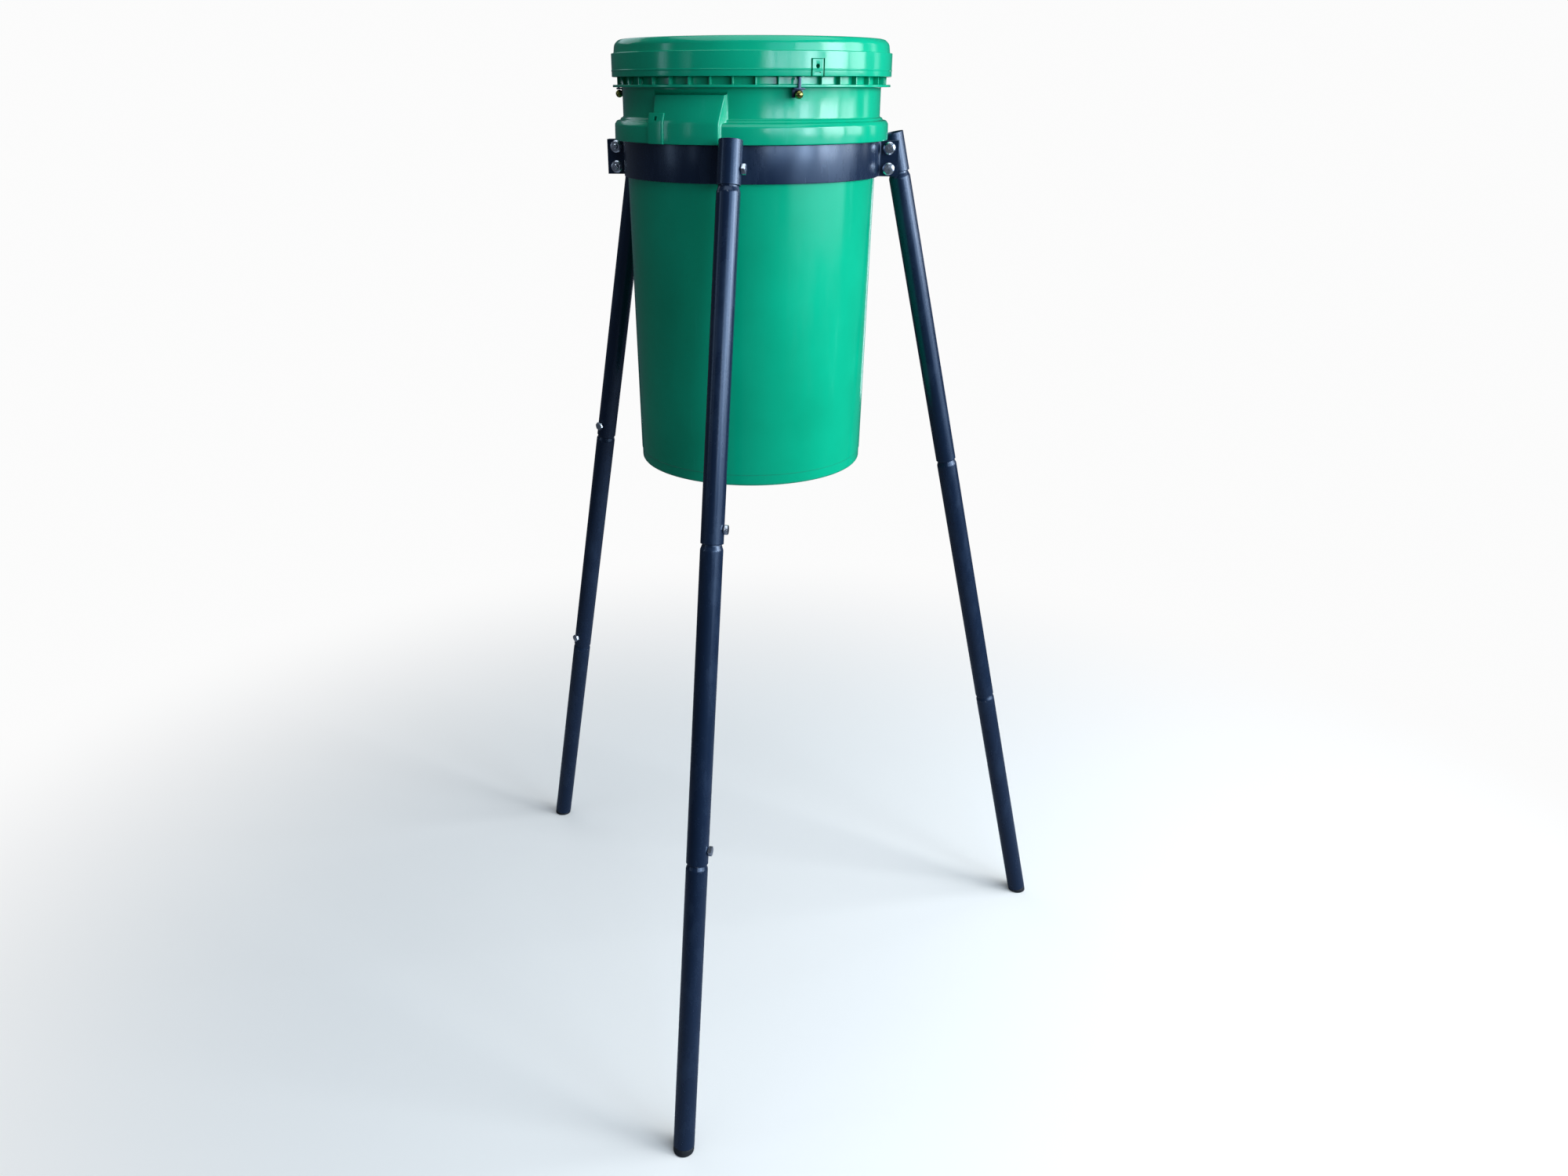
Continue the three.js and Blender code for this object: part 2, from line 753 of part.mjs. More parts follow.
// A plug in the end of the lowest tube, cut level with the floor.
function footPlug(frame) {
  const tubeEnd = leg.footDepth - legLength;
  const stem = leg.radius - leg.wall - GAP;
  const plug = turned(
    [
      [0, -legLength - leg.radius],
      [leg.radius, -legLength - leg.radius],
      [leg.radius, tubeEnd - GAP],
      [stem, tubeEnd - GAP],
      [stem, tubeEnd + leg.footStem],
      [0, tubeEnd + leg.footStem],
    ],
    TUBE_SEGMENTS,
  ).applyMatrix4(frame.matrix);
  const reach = legLength;
  const floor = box(2 * reach, 2 * reach, 2 * CLEAR_OF_PART, 0, 0, -CLEAR_OF_PART);
  return cut(plug, floor);
}

function buildLeg({ name, azimuth }) {
  const frame = legFrame(azimuth);
  part.add(frame);
  add(`socket_${name}`, legSocket(azimuth, frame), blackPaint);
  add(`socket_screw_${name}`, legScrew(), zinc, frame);
  ["upper", "middle", "lower"].forEach((row, i) => {
    const bottom = -(i + 1) * leg.section;
    const last = i === leg.sections - 1;
    const tube = last ? lowestTube() : cut(legTube(), screwHole());
    add(`leg_${name}_${row}`, tube, blackPaint, frame).position.z = bottom;
    if (!last) add(`leg_screw_${name}_${row}`, legScrew(), zinc, frame).position.z = bottom;
  });
  add(`foot_${name}`, footPlug(frame), rubber);
}

// ---- The whole part -----------------------------------------------------------------

buildPail();
buildLid();
buildClips();
buildOutlet();
buildBand();
legs.forEach(buildLeg);

// The origin is the middle of the part's footprint.
const middle = new THREE.Box3().setFromObject(part, true).getCenter(new THREE.Vector3());
part.position.set(-middle.x, -middle.y, 0);
part.updateMatrixWorld(true);

export default part;
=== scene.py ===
"""A screw-lid pail in a clamp band on three sectional tube legs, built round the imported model.

Lengths are millimetres unless a comment says metres, and become metres as each mesh is made.
An azimuth is measured from -Y towards +X, in degrees, round the pail's axis.
"""

import json
from math import asin, atan2, cos, pi, radians, sin, sqrt, tan

import bmesh
import bpy
from mathutils import Matrix, Vector


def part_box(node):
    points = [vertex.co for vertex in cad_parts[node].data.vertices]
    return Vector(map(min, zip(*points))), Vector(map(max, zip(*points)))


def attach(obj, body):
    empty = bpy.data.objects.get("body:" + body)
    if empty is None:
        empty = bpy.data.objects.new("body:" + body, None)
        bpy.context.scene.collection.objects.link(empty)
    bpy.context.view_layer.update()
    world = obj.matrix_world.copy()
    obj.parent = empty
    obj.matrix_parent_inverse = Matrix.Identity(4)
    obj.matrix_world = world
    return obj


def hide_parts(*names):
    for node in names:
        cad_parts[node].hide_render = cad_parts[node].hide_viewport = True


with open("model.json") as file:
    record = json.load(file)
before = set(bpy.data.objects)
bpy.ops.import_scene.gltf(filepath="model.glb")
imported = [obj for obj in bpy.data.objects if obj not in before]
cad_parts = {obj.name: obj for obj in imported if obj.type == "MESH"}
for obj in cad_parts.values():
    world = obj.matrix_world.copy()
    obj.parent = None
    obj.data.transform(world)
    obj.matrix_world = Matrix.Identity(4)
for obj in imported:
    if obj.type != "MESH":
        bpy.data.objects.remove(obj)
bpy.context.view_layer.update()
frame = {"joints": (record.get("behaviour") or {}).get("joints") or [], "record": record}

# ---- Driving dimensions --------------------------------------------------------------

MM = 0.001
ROUND_STEPS = 192  # faces round the pail and lid
TUBE_STEPS = 64  # faces round a leg tube
SMALL_STEPS = 40  # faces round a bolt or stud
ARC_STEPS = 4  # faces round a softened corner
FILLET = 0.4  # how far a corner is softened where nothing else is said
CLEAR = 2.0  # how far a cutting shape goes past what it cuts
SHARP_ANGLE = radians(32)  # shading breaks at a steeper edge

PAIL_WALL = 2.6
NECK_RADIUS = 145.0
BODY_TOP_RADIUS = 142.4
BODY_BOTTOM_RADIUS = 137.0
SHOULDER_RADIUS = 155.0
RING_RADIUS = 155.3
RIB_COUNT = 40
LID_RADIUS = 156.0
LID_WALL = 2.8

LEG_RADIUS = 12.7
LEG_WALL = 1.5
LEG_NECK_RADIUS = 10.9
LEG_NECK_LENGTH = 40.0
LEG_TAPER = 5.0
LEG_SECTION = 368.0
LEG_SECTIONS = 3
SHOULDER_GAP = 1.5
SCREW_HEIGHT = 16.0
SOCKET_LENGTH = 44.0
WEB_HALF = 2.0  # half the thickness of the web from the band to a socket
FOOT_DEPTH = 6.0
FOOT_RADIUS = 12.5

BAND_RADIUS = 144.5  # to the middle of the bar
BAND_THICKNESS = 3.0
TAB_REACH = 168.0
TAB_MIDDLE = 4.0  # from the clamp's split to the middle of a tab
TAB_BEND = 4.5

BOLT_RADIUS = 3.0
ACROSS_FLATS = 10.0
FLANGE_RADIUS = 6.8
FLANGE_HEIGHT = 1.4
BOLT_HEAD_TOP = 5.4
NUT_TOP = 5.0
SET_SCREW_HEAD = 4.2
HOLE_GAP = 0.3  # between a bolt and its hole


# ---- Places from the frame -----------------------------------------------------------


def node_box(name):
    """A CAD node's lowest and highest corners in millimetres."""
    low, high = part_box(name)
    return low / MM, high / MM


def joint_named(name):
    return next(j for j in frame["joints"] if j["name"] == name)


def mount_named(name):
    return next(m for m in frame["record"]["mounts"] if m["name"] == name)


lid_low, lid_high = node_box("lid")
pail_low, pail_high = node_box("pail_body")
band_low, band_high = node_box("band_front")
AXIS = Vector(((lid_low.x + lid_high.x) / 2, (lid_low.y + lid_high.y) / 2, 0))

PAIL_BOTTOM = pail_low.z
RIM = pail_high.z
BAND_BOTTOM = band_low.z
BAND_TOP = band_high.z
LID_BOTTOM = lid_low.z
LID_TOP = lid_high.z
FLOOR_UNDER = PAIL_BOTTOM + 5.7
SHOULDER_BOTTOM = BAND_TOP + 0.3
SHOULDER_TOP = SHOULDER_BOTTOM + 20.5
NECK_BOTTOM = SHOULDER_TOP + 3.6
RING_TOP = node_box("ring_clip_1")[1].z - 7.3
RING_BOTTOM = RING_TOP - 2.5


def azimuth_of(point):
    """The azimuth of a point in millimetres, in radians."""
    out = Vector(point) - AXIS
    return atan2(out.x, -out.y)


def at_azimuth(azimuth):
    """A place round the pail's axis: -Y runs outwards and +X counter-clockwise."""
    return Matrix.Translation(AXIS) @ Matrix.Rotation(azimuth, 4, "Z")


ON_AXIS = at_azimuth(0)


# ---- Mesh helpers --------------------------------------------------------------------


def softened(corners, closed=True):
    """An outline with its corners turned into short curves.

    A corner is (across, up), then optionally how far it is softened and how worn it is.
    Each point of the result is (across, up, wear).
    """
    points = []
    for i, corner in enumerate(corners):
        at = Vector(corner[:2])
        fillet = corner[2] if len(corner) > 2 else FILLET
        wear = corner[3] if len(corner) > 3 else 0.0
        is_end = not closed and i in (0, len(corners) - 1)
        if is_end or fillet == 0:
            points.append((at.x, at.y, wear))
            continue
        before = Vector(corners[i - 1][:2]) - at
        after = Vector(corners[(i + 1) % len(corners)][:2]) - at
        start = at + before.normalized() * min(fillet, before.length * 0.45)
        end = at + after.normalized() * min(fillet, after.length * 0.45)
        if wear and before.length > 4 * fillet:
            points.append((*(start + before.normalized() * fillet), 0.0))
        for k in range(ARC_STEPS + 1):
            t = k / ARC_STEPS
            p = start * (1 - t) ** 2 + at * (2 * t * (1 - t)) + end * t**2
            points.append((p.x, p.y, wear))
        if wear and after.length > 4 * fillet:
            points.append((*(end + after.normalized() * fillet), 0.0))
    return points


def bridge(bm, first, second):
    """Faces between two loops of points. A loop of one point is a tip."""
    count = max(len(first), len(second))
    for k in range(count):
        after = (k + 1) % count
        if len(first) == 1:
            bm.faces.new((first[0], second[after], second[k]))
        elif len(second) == 1:
            bm.faces.new((first[k], first[after], second[0]))
        else:
            bm.faces.new((first[k], first[after], second[after], second[k]))


def turned(corners, steps=ROUND_STEPS):
    """A ring or a turned solid about +Z. Its corners run counter-clockwise as (radius, height)."""
    closed = corners[0][0] > 0 or corners[-1][0] > 0
    bm = bmesh.new()
    wear_layer = bm.verts.layers.float.new("wear")
    rings = []
    for radius, height, wear in softened(corners, closed):
        angles = [0.0] if radius == 0 else [2 * pi * k / steps for k in range(steps)]
        ring = [bm.verts.new((radius * sin(a), -radius * cos(a), height)) for a in angles]
        for vert in ring:
            vert[wear_layer] = wear
        rings.append(ring)
    for first, second in zip(rings, rings[1:]):
        bridge(bm, first, second)
    if closed:
        bridge(bm, rings[-1], rings[0])
    return bm


def lofted(loops):
    """A closed solid through loops of points, with flat ends."""
    bm = bmesh.new()
    rings = [[bm.verts.new(p) for p in loop] for loop in loops]
    for first, second in zip(rings, rings[1:]):
        bridge(bm, first, second)
    bm.faces.new(reversed(rings[0]))
    bm.faces.new(rings[-1])
    bmesh.ops.recalc_face_normals(bm, faces=bm.faces)
    return bm


def block(low, high, edge):
    """A box between two corners with bevelled edges."""
    low, high = Vector(low), Vector(high)
    bm = bmesh.new()
    bmesh.ops.create_cube(bm, size=1.0)
    moved(bm, Matrix.Translation((low + high) / 2) @ Matrix.Diagonal((*(high - low), 1)))
    if edge:
        bmesh.ops.bevel(bm, geom=bm.edges[:], offset=edge, segments=2, profile=0.5, affect="EDGES")
    return bm


def rod(radius, low, high, steps=SMALL_STEPS, edge=FILLET):
    """A round bar about +Z."""
    return turned([(0, low), (radius, low, edge), (radius, high, edge), (0, high)], steps)


def prism(sides, across_flats, low, high):
    """A bar with flat sides about +Z."""
    radius = across_flats / 2 / cos(pi / sides)
    ring = [(radius * sin(2 * pi * k / sides), -radius * cos(2 * pi * k / sides)) for k in range(sides)]
    return lofted([[(x, y, low) for x, y in ring], [(x, y, high) for x, y in ring]])


def moved(bm, matrix):
    bmesh.ops.transform(bm, matrix=matrix, verts=bm.verts)
    return bm


def along_x(bm):
    """Turns what was made about +Z so that it runs along +X."""
    return moved(bm, Matrix.Rotation(pi / 2, 4, "Y"))


def as_object(bm, name="tool"):
    mesh = bpy.data.meshes.new(name)
    bm.to_mesh(mesh)
    bm.free()
    obj = bpy.data.objects.new(name, mesh)
    bpy.context.scene.collection.objects.link(obj)
    return obj


def evaluated(obj):
    """A bmesh of the object with its modifiers applied. The object is removed."""
    depsgraph = bpy.context.evaluated_depsgraph_get()
    mesh = bpy.data.meshes.new_from_object(obj.evaluated_get(depsgraph))
    bm = bmesh.new()
    bm.from_mesh(mesh)
    bpy.data.meshes.remove(mesh)
    bpy.data.meshes.remove(obj.data)
    return bm


def merged(parts):
    """Several separate solids as one bmesh."""
    whole = bmesh.new()
    for bm in parts:
        mesh = bpy.data.meshes.new("part")
        bm.to_mesh(mesh)
        bm.free()
        whole.from_mesh(mesh)
        bpy.data.meshes.remove(mesh)
    return whole


def boolean(first, second, operation):
    base = as_object(first)
    tool = as_object(second)
    modifier = base.modifiers.new("boolean", "BOOLEAN")
    modifier.operation = operation
    modifier.solver = "EXACT"
    modifier.object = tool
    result = evaluated(base)
    bpy.data.meshes.remove(tool.data)
    return result


def joined(first, *others):
    for other in others:
        first = boolean(first, other, "UNION")
    return first


def cut(first, *tools):
    for tool in tools:
        first = boolean(first, tool, "DIFFERENCE")
    return first


def bevelled(bm, width, segments=2, angle=radians(40)):
    """Softens every edge that is steeper than an angle."""
    obj = as_object(bm)
    modifier = obj.modifiers.new("bevel", "BEVEL")
    modifier.width = width
    modifier.segments = segments
    modifier.limit_method = "ANGLE"
    modifier.angle_limit = angle
    return evaluated(obj)


def piece(name, bm, matrix, body, nodes, slot):
    """Makes a finished piece in metres, which rides on a body and stands for some CAD nodes."""
    moved(bm, Matrix.Scale(MM, 4) @ matrix)
    bmesh.ops.remove_doubles(bm, verts=bm.verts, dist=1e-7)
    obj = as_object(bm, name)
    for polygon in obj.data.polygons:
        polygon.use_smooth = True
    obj.data.set_sharp_from_angle(angle=SHARP_ANGLE)
    obj.data.materials.append(MATERIALS[slot])
    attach(obj, body)
    if nodes:
        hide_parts(*nodes)


# ---- Materials -----------------------------------------------------------------------


class Nodes:
    """Short calls for building one material's node tree."""

    def __init__(self, name):
        self.material = bpy.data.materials.new(name)
        self.material.use_nodes = True
        self.tree = self.material.node_tree
        self.shader = self.tree.nodes["Principled BSDF"]
        self.place = self.tree.nodes.new("ShaderNodeTexCoord").outputs["Object"]

    def set(self, **values):
        for name, value in values.items():
            self.shader.inputs[name.replace("_", " ")].default_value = value

    def link(self, source, socket):
        self.tree.links.new(source, self.shader.inputs[socket])

    def stretched(self, scale):
        node = self.tree.nodes.new("ShaderNodeMapping")
        node.inputs["Scale"].default_value = scale
        self.tree.links.new(self.place, node.inputs["Vector"])
        return node.outputs["Vector"]

    def noise(self, scale, detail=3.0, vector=None, roughness=0.5):
        node = self.tree.nodes.new("ShaderNodeTexNoise")
        node.inputs["Scale"].default_value = scale
        node.inputs["Detail"].default_value = detail
        node.inputs["Roughness"].default_value = roughness
        self.tree.links.new(vector or self.place, node.inputs["Vector"])
        return node.outputs["Fac"]

    def ramp(self, factor, low, high, to_low, to_high):
        node = self.tree.nodes.new("ShaderNodeMapRange")
        self.tree.links.new(factor, node.inputs["Value"])
        for name, value in (("From Min", low), ("From Max", high), ("To Min", to_low), ("To Max", to_high)):
            node.inputs[name].default_value = value
        return node.outputs["Result"]

    def math(self, operation, first, second):
        node = self.tree.nodes.new("ShaderNodeMath")
        node.operation = operation
        node.use_clamp = operation in ("MULTIPLY", "ADD")
        for socket, value in zip(node.inputs, (first, second)):
            if isinstance(value, float):
                socket.default_value = value
            else:
                self.tree.links.new(value, socket)
        return node.outputs["Value"]

    def mix(self, factor, first, second):
        """A mix of two colours, each a colour or a node's output."""
        node = self.tree.nodes.new("ShaderNodeMix")
        node.data_type = "RGBA"
        self.tree.links.new(factor, node.inputs["Factor"])
        for socket, value in ((node.inputs[6], first), (node.inputs[7], second)):
            if isinstance(value, tuple):
                socket.default_value = (*value, 1.0)
            else:
                self.tree.links.new(value, socket)
        return node.outputs[2]

    def attribute(self, name):
        node = self.tree.nodes.new("ShaderNodeAttribute")
        node.attribute_name = name
        return node.outputs["Fac"]

    def bump(self, height, strength, distance, under=None):
        node = self.tree.nodes.new("ShaderNodeBump")
        node.inputs["Strength"].default_value = strength
        node.inputs["Distance"].default_value = distance
        self.tree.links.new(height, node.inputs["Height"])
        if under:
            self.tree.links.new(under, node.inputs["Normal"])
        self.link(node.outputs["Normal"], "Normal")
        return node.outputs["Normal"]


def green_plastic():
    """Glossy moulded polyethylene: cloudy colour, faint flow waves and fine scuffs."""
    n = Nodes("green_plastic")
    n.set(IOR=1.47)
    cloud = n.noise(9.0, 4.0)
    colour = n.mix(n.ramp(cloud, 0.3, 0.7, 0.0, 1.0), (0.0012, 0.36, 0.18), (0.002, 0.44, 0.225))
    scuffs = n.noise(70.0, 5.0, n.stretched((1.0, 1.0, 0.12)), 0.7)
    scuff_mask = n.ramp(scuffs, 0.62, 0.8, 0.0, 0.35)
    n.link(n.mix(scuff_mask, colour, (0.02, 0.5, 0.29)), "Base Color")
    n.link(n.ramp(scuffs, 0.35, 0.75, 0.09, 0.26), "Roughness")
    waves = n.bump(n.noise(16.0, 1.0, n.stretched((1.0, 1.0, 0.4))), 0.35, 0.0015)
    n.bump(n.noise(420.0, 2.0), 0.12, 0.0002, waves)
    return n.material


def dark_plastic():
    """Satin black polypropylene with a fine grain."""
    n = Nodes("dark_plastic")
    n.set(IOR=1.49)
    cloud = n.noise(30.0)
    n.link(n.mix(cloud, (0.02, 0.022, 0.021), (0.04, 0.042, 0.04)), "Base Color")
    n.link(n.ramp(cloud, 0.2, 0.8, 0.38, 0.55), "Roughness")
    n.bump(n.noise(600.0, 3.0), 0.25, 0.0002)
    return n.material


def black_paint():
    """Gloss black enamel on steel: orange peel, rub marks, and bare metal where edges are worn."""
    n = Nodes("black_paint")
    n.set(IOR=1.55, Specular_Tint=(0.64, 0.78, 1.0, 1.0), Coat_Weight=0.1, Coat_Roughness=0.14)
    rubs = n.noise(45.0, 6.0, n.stretched((1.0, 1.0, 0.35)), 0.65)
    chips = n.ramp(n.noise(190.0, 5.0, roughness=0.7), 0.62, 0.7, 0.0, 1.0)
    worn = n.math("MULTIPLY", n.ramp(n.attribute("wear"), 0.15, 0.8, 0.0, 1.0), chips)
    paint = n.mix(n.ramp(rubs, 0.5, 0.85, 0.0, 1.0), (0.007, 0.016, 0.037), (0.02, 0.036, 0.068))
    n.link(n.mix(worn, paint, (0.5, 0.52, 0.55)), "Base Color")
    n.link(worn, "Metallic")
    n.link(n.ramp(rubs, 0.3, 0.8, 0.2, 0.36), "Roughness")
    n.bump(n.noise(700.0, 2.0), 0.12, 0.0002)
    return n.material


def zinc_steel():
    """Bright zinc plating with a cloudy, slightly scratched surface."""
    n = Nodes("zinc_steel")
    n.set(Metallic=1.0)
    cloud = n.noise(220.0, 4.0)
    n.link(n.mix(cloud, (0.6, 0.65, 0.72), (0.86, 0.88, 0.9)), "Base Color")
    n.link(n.ramp(cloud, 0.25, 0.75, 0.14, 0.34), "Roughness")
    n.bump(n.noise(900.0, 2.0, n.stretched((1.0, 1.0, 0.3))), 0.15, 0.0001)
    return n.material


def brass():
    """Dull turned brass with a cloudy tarnish."""
    n = Nodes("brass")
    n.set(Metallic=1.0)
    cloud = n.noise(260.0, 3.0)
    n.link(n.mix(cloud, (0.2, 0.2, 0.05), (0.42, 0.38, 0.1)), "Base Color")
    n.link(n.ramp(cloud, 0.25, 0.75, 0.18, 0.36), "Roughness")
    n.bump(n.noise(800.0, 2.0), 0.12, 0.0001)
    return n.material


def rubber():
    """Matt black rubber, greyer where dust holds to it."""
    n = Nodes("rubber")
    n.set(IOR=1.5)
    dust = n.noise(90.0, 5.0, roughness=0.65)
    dusty = n.ramp(dust, 0.5, 0.8, 0.0, 0.6)
    n.link(n.mix(dusty, (0.011, 0.012, 0.014), (0.06, 0.058, 0.055)), "Base Color")
    n.link(n.ramp(dust, 0.3, 0.7, 0.45, 0.7), "Roughness")
    n.bump(n.noise(500.0, 3.0), 0.3, 0.0002)
    return n.material


FINISHES = (green_plastic, dark_plastic, black_paint, zinc_steel, brass, rubber)
MATERIALS = {finish.__name__: finish() for finish in FINISHES}


# ---- Pail ----------------------------------------------------------------------------

GRIP_AZIMUTHS = (-19.4, 160.6)
GRIP_HALF_SPREAD = radians(17.2)
GRIP_TOP = 1159.2
GRIP_SLOPE_BOTTOM = 1133.0
GRIP_RADIUS = 157.2
GRIP_LEDGE_RADIUS = 148.2
GRIP_DRAFT = 0.64  # how far a side leans in for each millimetre that it stands proud
GRIP_EDGE = 1.2  # the rounding of its upright edges
GRIP_FACE_LEAN = 0.6  # how far its upright face leans back from the shoulder up
PAD_HALF_SPREAD = radians(4.2)
PAD_DRAFT = 0.05
PAD_TOP = 1142.0
PAD_PROUD = 1.6
PAD_COLUMNS = 6
NOTCH_HALF = 2.0
NOTCH_BOTTOM = 1134.5
RIB_HALF_WIDTH = 0.9
RIB_OUTER = 150.7
RIB_HEIGHT = 11.4  # above the ring
OUTLET_HOLE = 20.3
CHIME = 753.8  # where the body's foot ends in a fine step


def pail_wall():
    """The moulded shell: stand ring, tapered body, shoulder, neck and the ring round it."""
    inside = NECK_RADIUS - PAIL_WALL
    floor_top = FLOOR_UNDER + PAIL_WALL
    return turned(
        [
            (OUTLET_HOLE, FLOOR_UNDER),
            (BODY_BOTTOM_RADIUS - 10, FLOOR_UNDER, 1.5),
            (BODY_BOTTOM_RADIUS - 6, PAIL_BOTTOM, 0.8),
            (BODY_BOTTOM_RADIUS - 2, PAIL_BOTTOM, 1.0),
            (BODY_BOTTOM_RADIUS - 0.5, PAIL_BOTTOM + 2, 1.0),
            (BODY_BOTTOM_RADIUS - 0.4, CHIME - 0.8, 0.3),
            (BODY_BOTTOM_RADIUS + 0.2, CHIME, 0.3),
            (BODY_TOP_RADIUS, SHOULDER_BOTTOM, 0.6),
            (SHOULDER_RADIUS, SHOULDER_BOTTOM, 1.4),
            (SHOULDER_RADIUS - 0.3, SHOULDER_TOP - 3.6, 1.0),
            (SHOULDER_RADIUS - 2.6, SHOULDER_TOP, 1.4),
            (SHOULDER_RADIUS - 6.4, SHOULDER_TOP + 0.6, 1.0),
            (SHOULDER_RADIUS - 7.2, SHOULDER_TOP + 2.6, 0.8),
            (NECK_RADIUS, NECK_BOTTOM, 1.6),
            (NECK_RADIUS, RING_BOTTOM, 0.8),
            (RING_RADIUS, RING_BOTTOM, 0.5),
            (RING_RADIUS, RING_TOP, 0.6),
            (NECK_RADIUS, RING_TOP, 0.8),
            (NECK_RADIUS, RIM, 0.9),
            (inside, RIM, 0.9),
            (inside, NECK_BOTTOM - PAIL_WALL, 2.0),
            (SHOULDER_RADIUS - 3 - PAIL_WALL, SHOULDER_TOP - PAIL_WALL, 2.0),
            (SHOULDER_RADIUS - PAIL_WALL, SHOULDER_BOTTOM + PAIL_WALL, 1.5),
            (BODY_TOP_RADIUS - PAIL_WALL, SHOULDER_BOTTOM + PAIL_WALL, 2.0),
            (BODY_BOTTOM_RADIUS - PAIL_WALL, floor_top + 2, 2.0),
            (BODY_BOTTOM_RADIUS - PAIL_WALL - 2, floor_top, 1.5),
            (OUTLET_HOLE, floor_top),
        ]
    )


def grip_solid(profile, half_spread, draft, middle=0.0, columns=26):
    """A wedge on the neck whose sides lean in and whose upright edges are round.

    The profile is a softened outline of (radius, height) points.
    """
    near_end = (0.0, 0.12, 0.36, 0.72, GRIP_EDGE)
    loops = []
    width = 2 * half_spread * NECK_RADIUS
    steps = [GRIP_EDGE + (width - 2 * GRIP_EDGE) * k / columns for k in range(1, columns)]
    distances = [*near_end, *steps, *(width - d for d in reversed(near_end))]
    for distance in distances:
        from_end = min(distance, width - distance, GRIP_EDGE)
        drop = GRIP_EDGE - sqrt(GRIP_EDGE**2 - (GRIP_EDGE - from_end) ** 2)
        share = 2 * distance / width - 1
        loop = []
        for radius, height, _ in profile:
            proud = max(radius - NECK_RADIUS, 0.0)
            azimuth = middle + share * (half_spread - draft * proud / radius)
            r = radius - min(drop, proud)
            loop.append((r * sin(azimuth), -r * cos(azimuth), height))
        loops.append(loop)
    return lofted(loops)


def grip():
    """The grip's wedge with a raised pad at its clockwise end, and a small square hole in the pad."""
    root = NECK_RADIUS - PAIL_WALL / 2
    front = softened(
        [
            (root, SHOULDER_BOTTOM, 0),
            (GRIP_RADIUS, SHOULDER_BOTTOM, 0.8),
            (GRIP_RADIUS - GRIP_FACE_LEAN, GRIP_SLOPE_BOTTOM, 2.5),
            (GRIP_LEDGE_RADIUS, GRIP_TOP, 1.0),
            (root, GRIP_TOP, 0),
        ]
    )
    slope_radius = GRIP_RADIUS - GRIP_FACE_LEAN
    slope = (slope_radius - GRIP_LEDGE_RADIUS) / (GRIP_TOP - GRIP_SLOPE_BOTTOM)
    at_pad_top = slope_radius - slope * (PAD_TOP - GRIP_SLOPE_BOTTOM)
    pad = softened(
        [
            (root, SHOULDER_BOTTOM, 0),
            (GRIP_RADIUS + PAD_PROUD, SHOULDER_BOTTOM, 0.6),
            (slope_radius + PAD_PROUD, GRIP_SLOPE_BOTTOM, 2.0),
            (at_pad_top + PAD_PROUD, PAD_TOP, 0.7),
            (root, PAD_TOP, 0),
        ]
    )
    pad_middle = PAD_HALF_SPREAD - GRIP_HALF_SPREAD
    wedge = grip_solid(front, GRIP_HALF_SPREAD, GRIP_DRAFT)
    raised = grip_solid(pad, PAD_HALF_SPREAD, PAD_DRAFT, pad_middle, PAD_COLUMNS)
    notch_low = (-NOTCH_HALF, -GRIP_RADIUS - 4, NOTCH_BOTTOM)
    notch = block(notch_low, (NOTCH_HALF, 7 - GRIP_RADIUS, NOTCH_BOTTOM + 2 * NOTCH_HALF), 0)
    moved(notch, Matrix.Rotation(pad_middle, 4, "Z"))
    return cut(joined(wedge, raised), notch)


def ribs():
    """Stiffening ribs above the ring."""
    blades = []
    low = (-RIB_HALF_WIDTH, -RIB_OUTER, RING_TOP - 1)
    high = (RIB_HALF_WIDTH, 1 - NECK_RADIUS, RING_TOP + RIB_HEIGHT)
    for k in range(RIB_COUNT):
        turn = Matrix.Rotation(2 * pi * k / RIB_COUNT, 4, "Z")
        blades.append(moved(block(low, high, 0.35), turn))
    return merged(blades)


def thread(starts=3, sweep=radians(80), bottom=1186.0, rise=10.0, radius=1.6):
    """Short starts of thread round the mouth, tapering into it at both ends."""
    turns = []
    steps = 40
    sides = 10
    for start in range(starts):
        loops = []
        for k in range(steps + 1):
            t = k / steps
            size = radius * max(min(1.0, t * 8, (1 - t) * 8), 0.05)
            azimuth = 2 * pi * start / starts + t * sweep
            middle = bottom + t * rise
            loop = []
            for j in range(sides):
                angle = 2 * pi * j / sides
                r = NECK_RADIUS + size * cos(angle)
                loop.append((r * sin(azimuth), -r * cos(azimuth), middle + size * sin(angle)))
            loops.append(loop)
        turns.append(lofted(loops))
    return merged(turns)


def make_pail():
    grips = [moved(grip(), Matrix.Rotation(radians(a), 4, "Z")) for a in GRIP_AZIMUTHS]
    shell = joined(pail_wall(), merged(grips), ribs(), thread())
    piece("pail_shell", shell, ON_AXIS, "pail", ["pail_body"], "green_plastic")


# ---- Lid -----------------------------------------------------------------------------

BEAD = 1182.8  # the middle of the thin bead round the skirt
STEP = 1199.5  # where the skirt steps in to the upper tier
PANEL_RADIUS = 131.0  # of the recessed panel in the top
TAB_INNER = 151.0
TAB_HALF_WIDTH = 6.2
TAB_SLIT = 1.6
TAB_TOP = 1193.0
TAB_HOLE_HEIGHT = 1185.8
TAB_HOLE_RADIUS = 2.2
TAB_SLOT_HALF_WIDTH = 3.2
TAB_SLOT_LOW = 1179.4
TAB_SLOT_HIGH = 1180.4
TAB_AZIMUTH = azimuth_of(Vector(joint_named("lock_tab_flex")["pos_m"]) / MM)


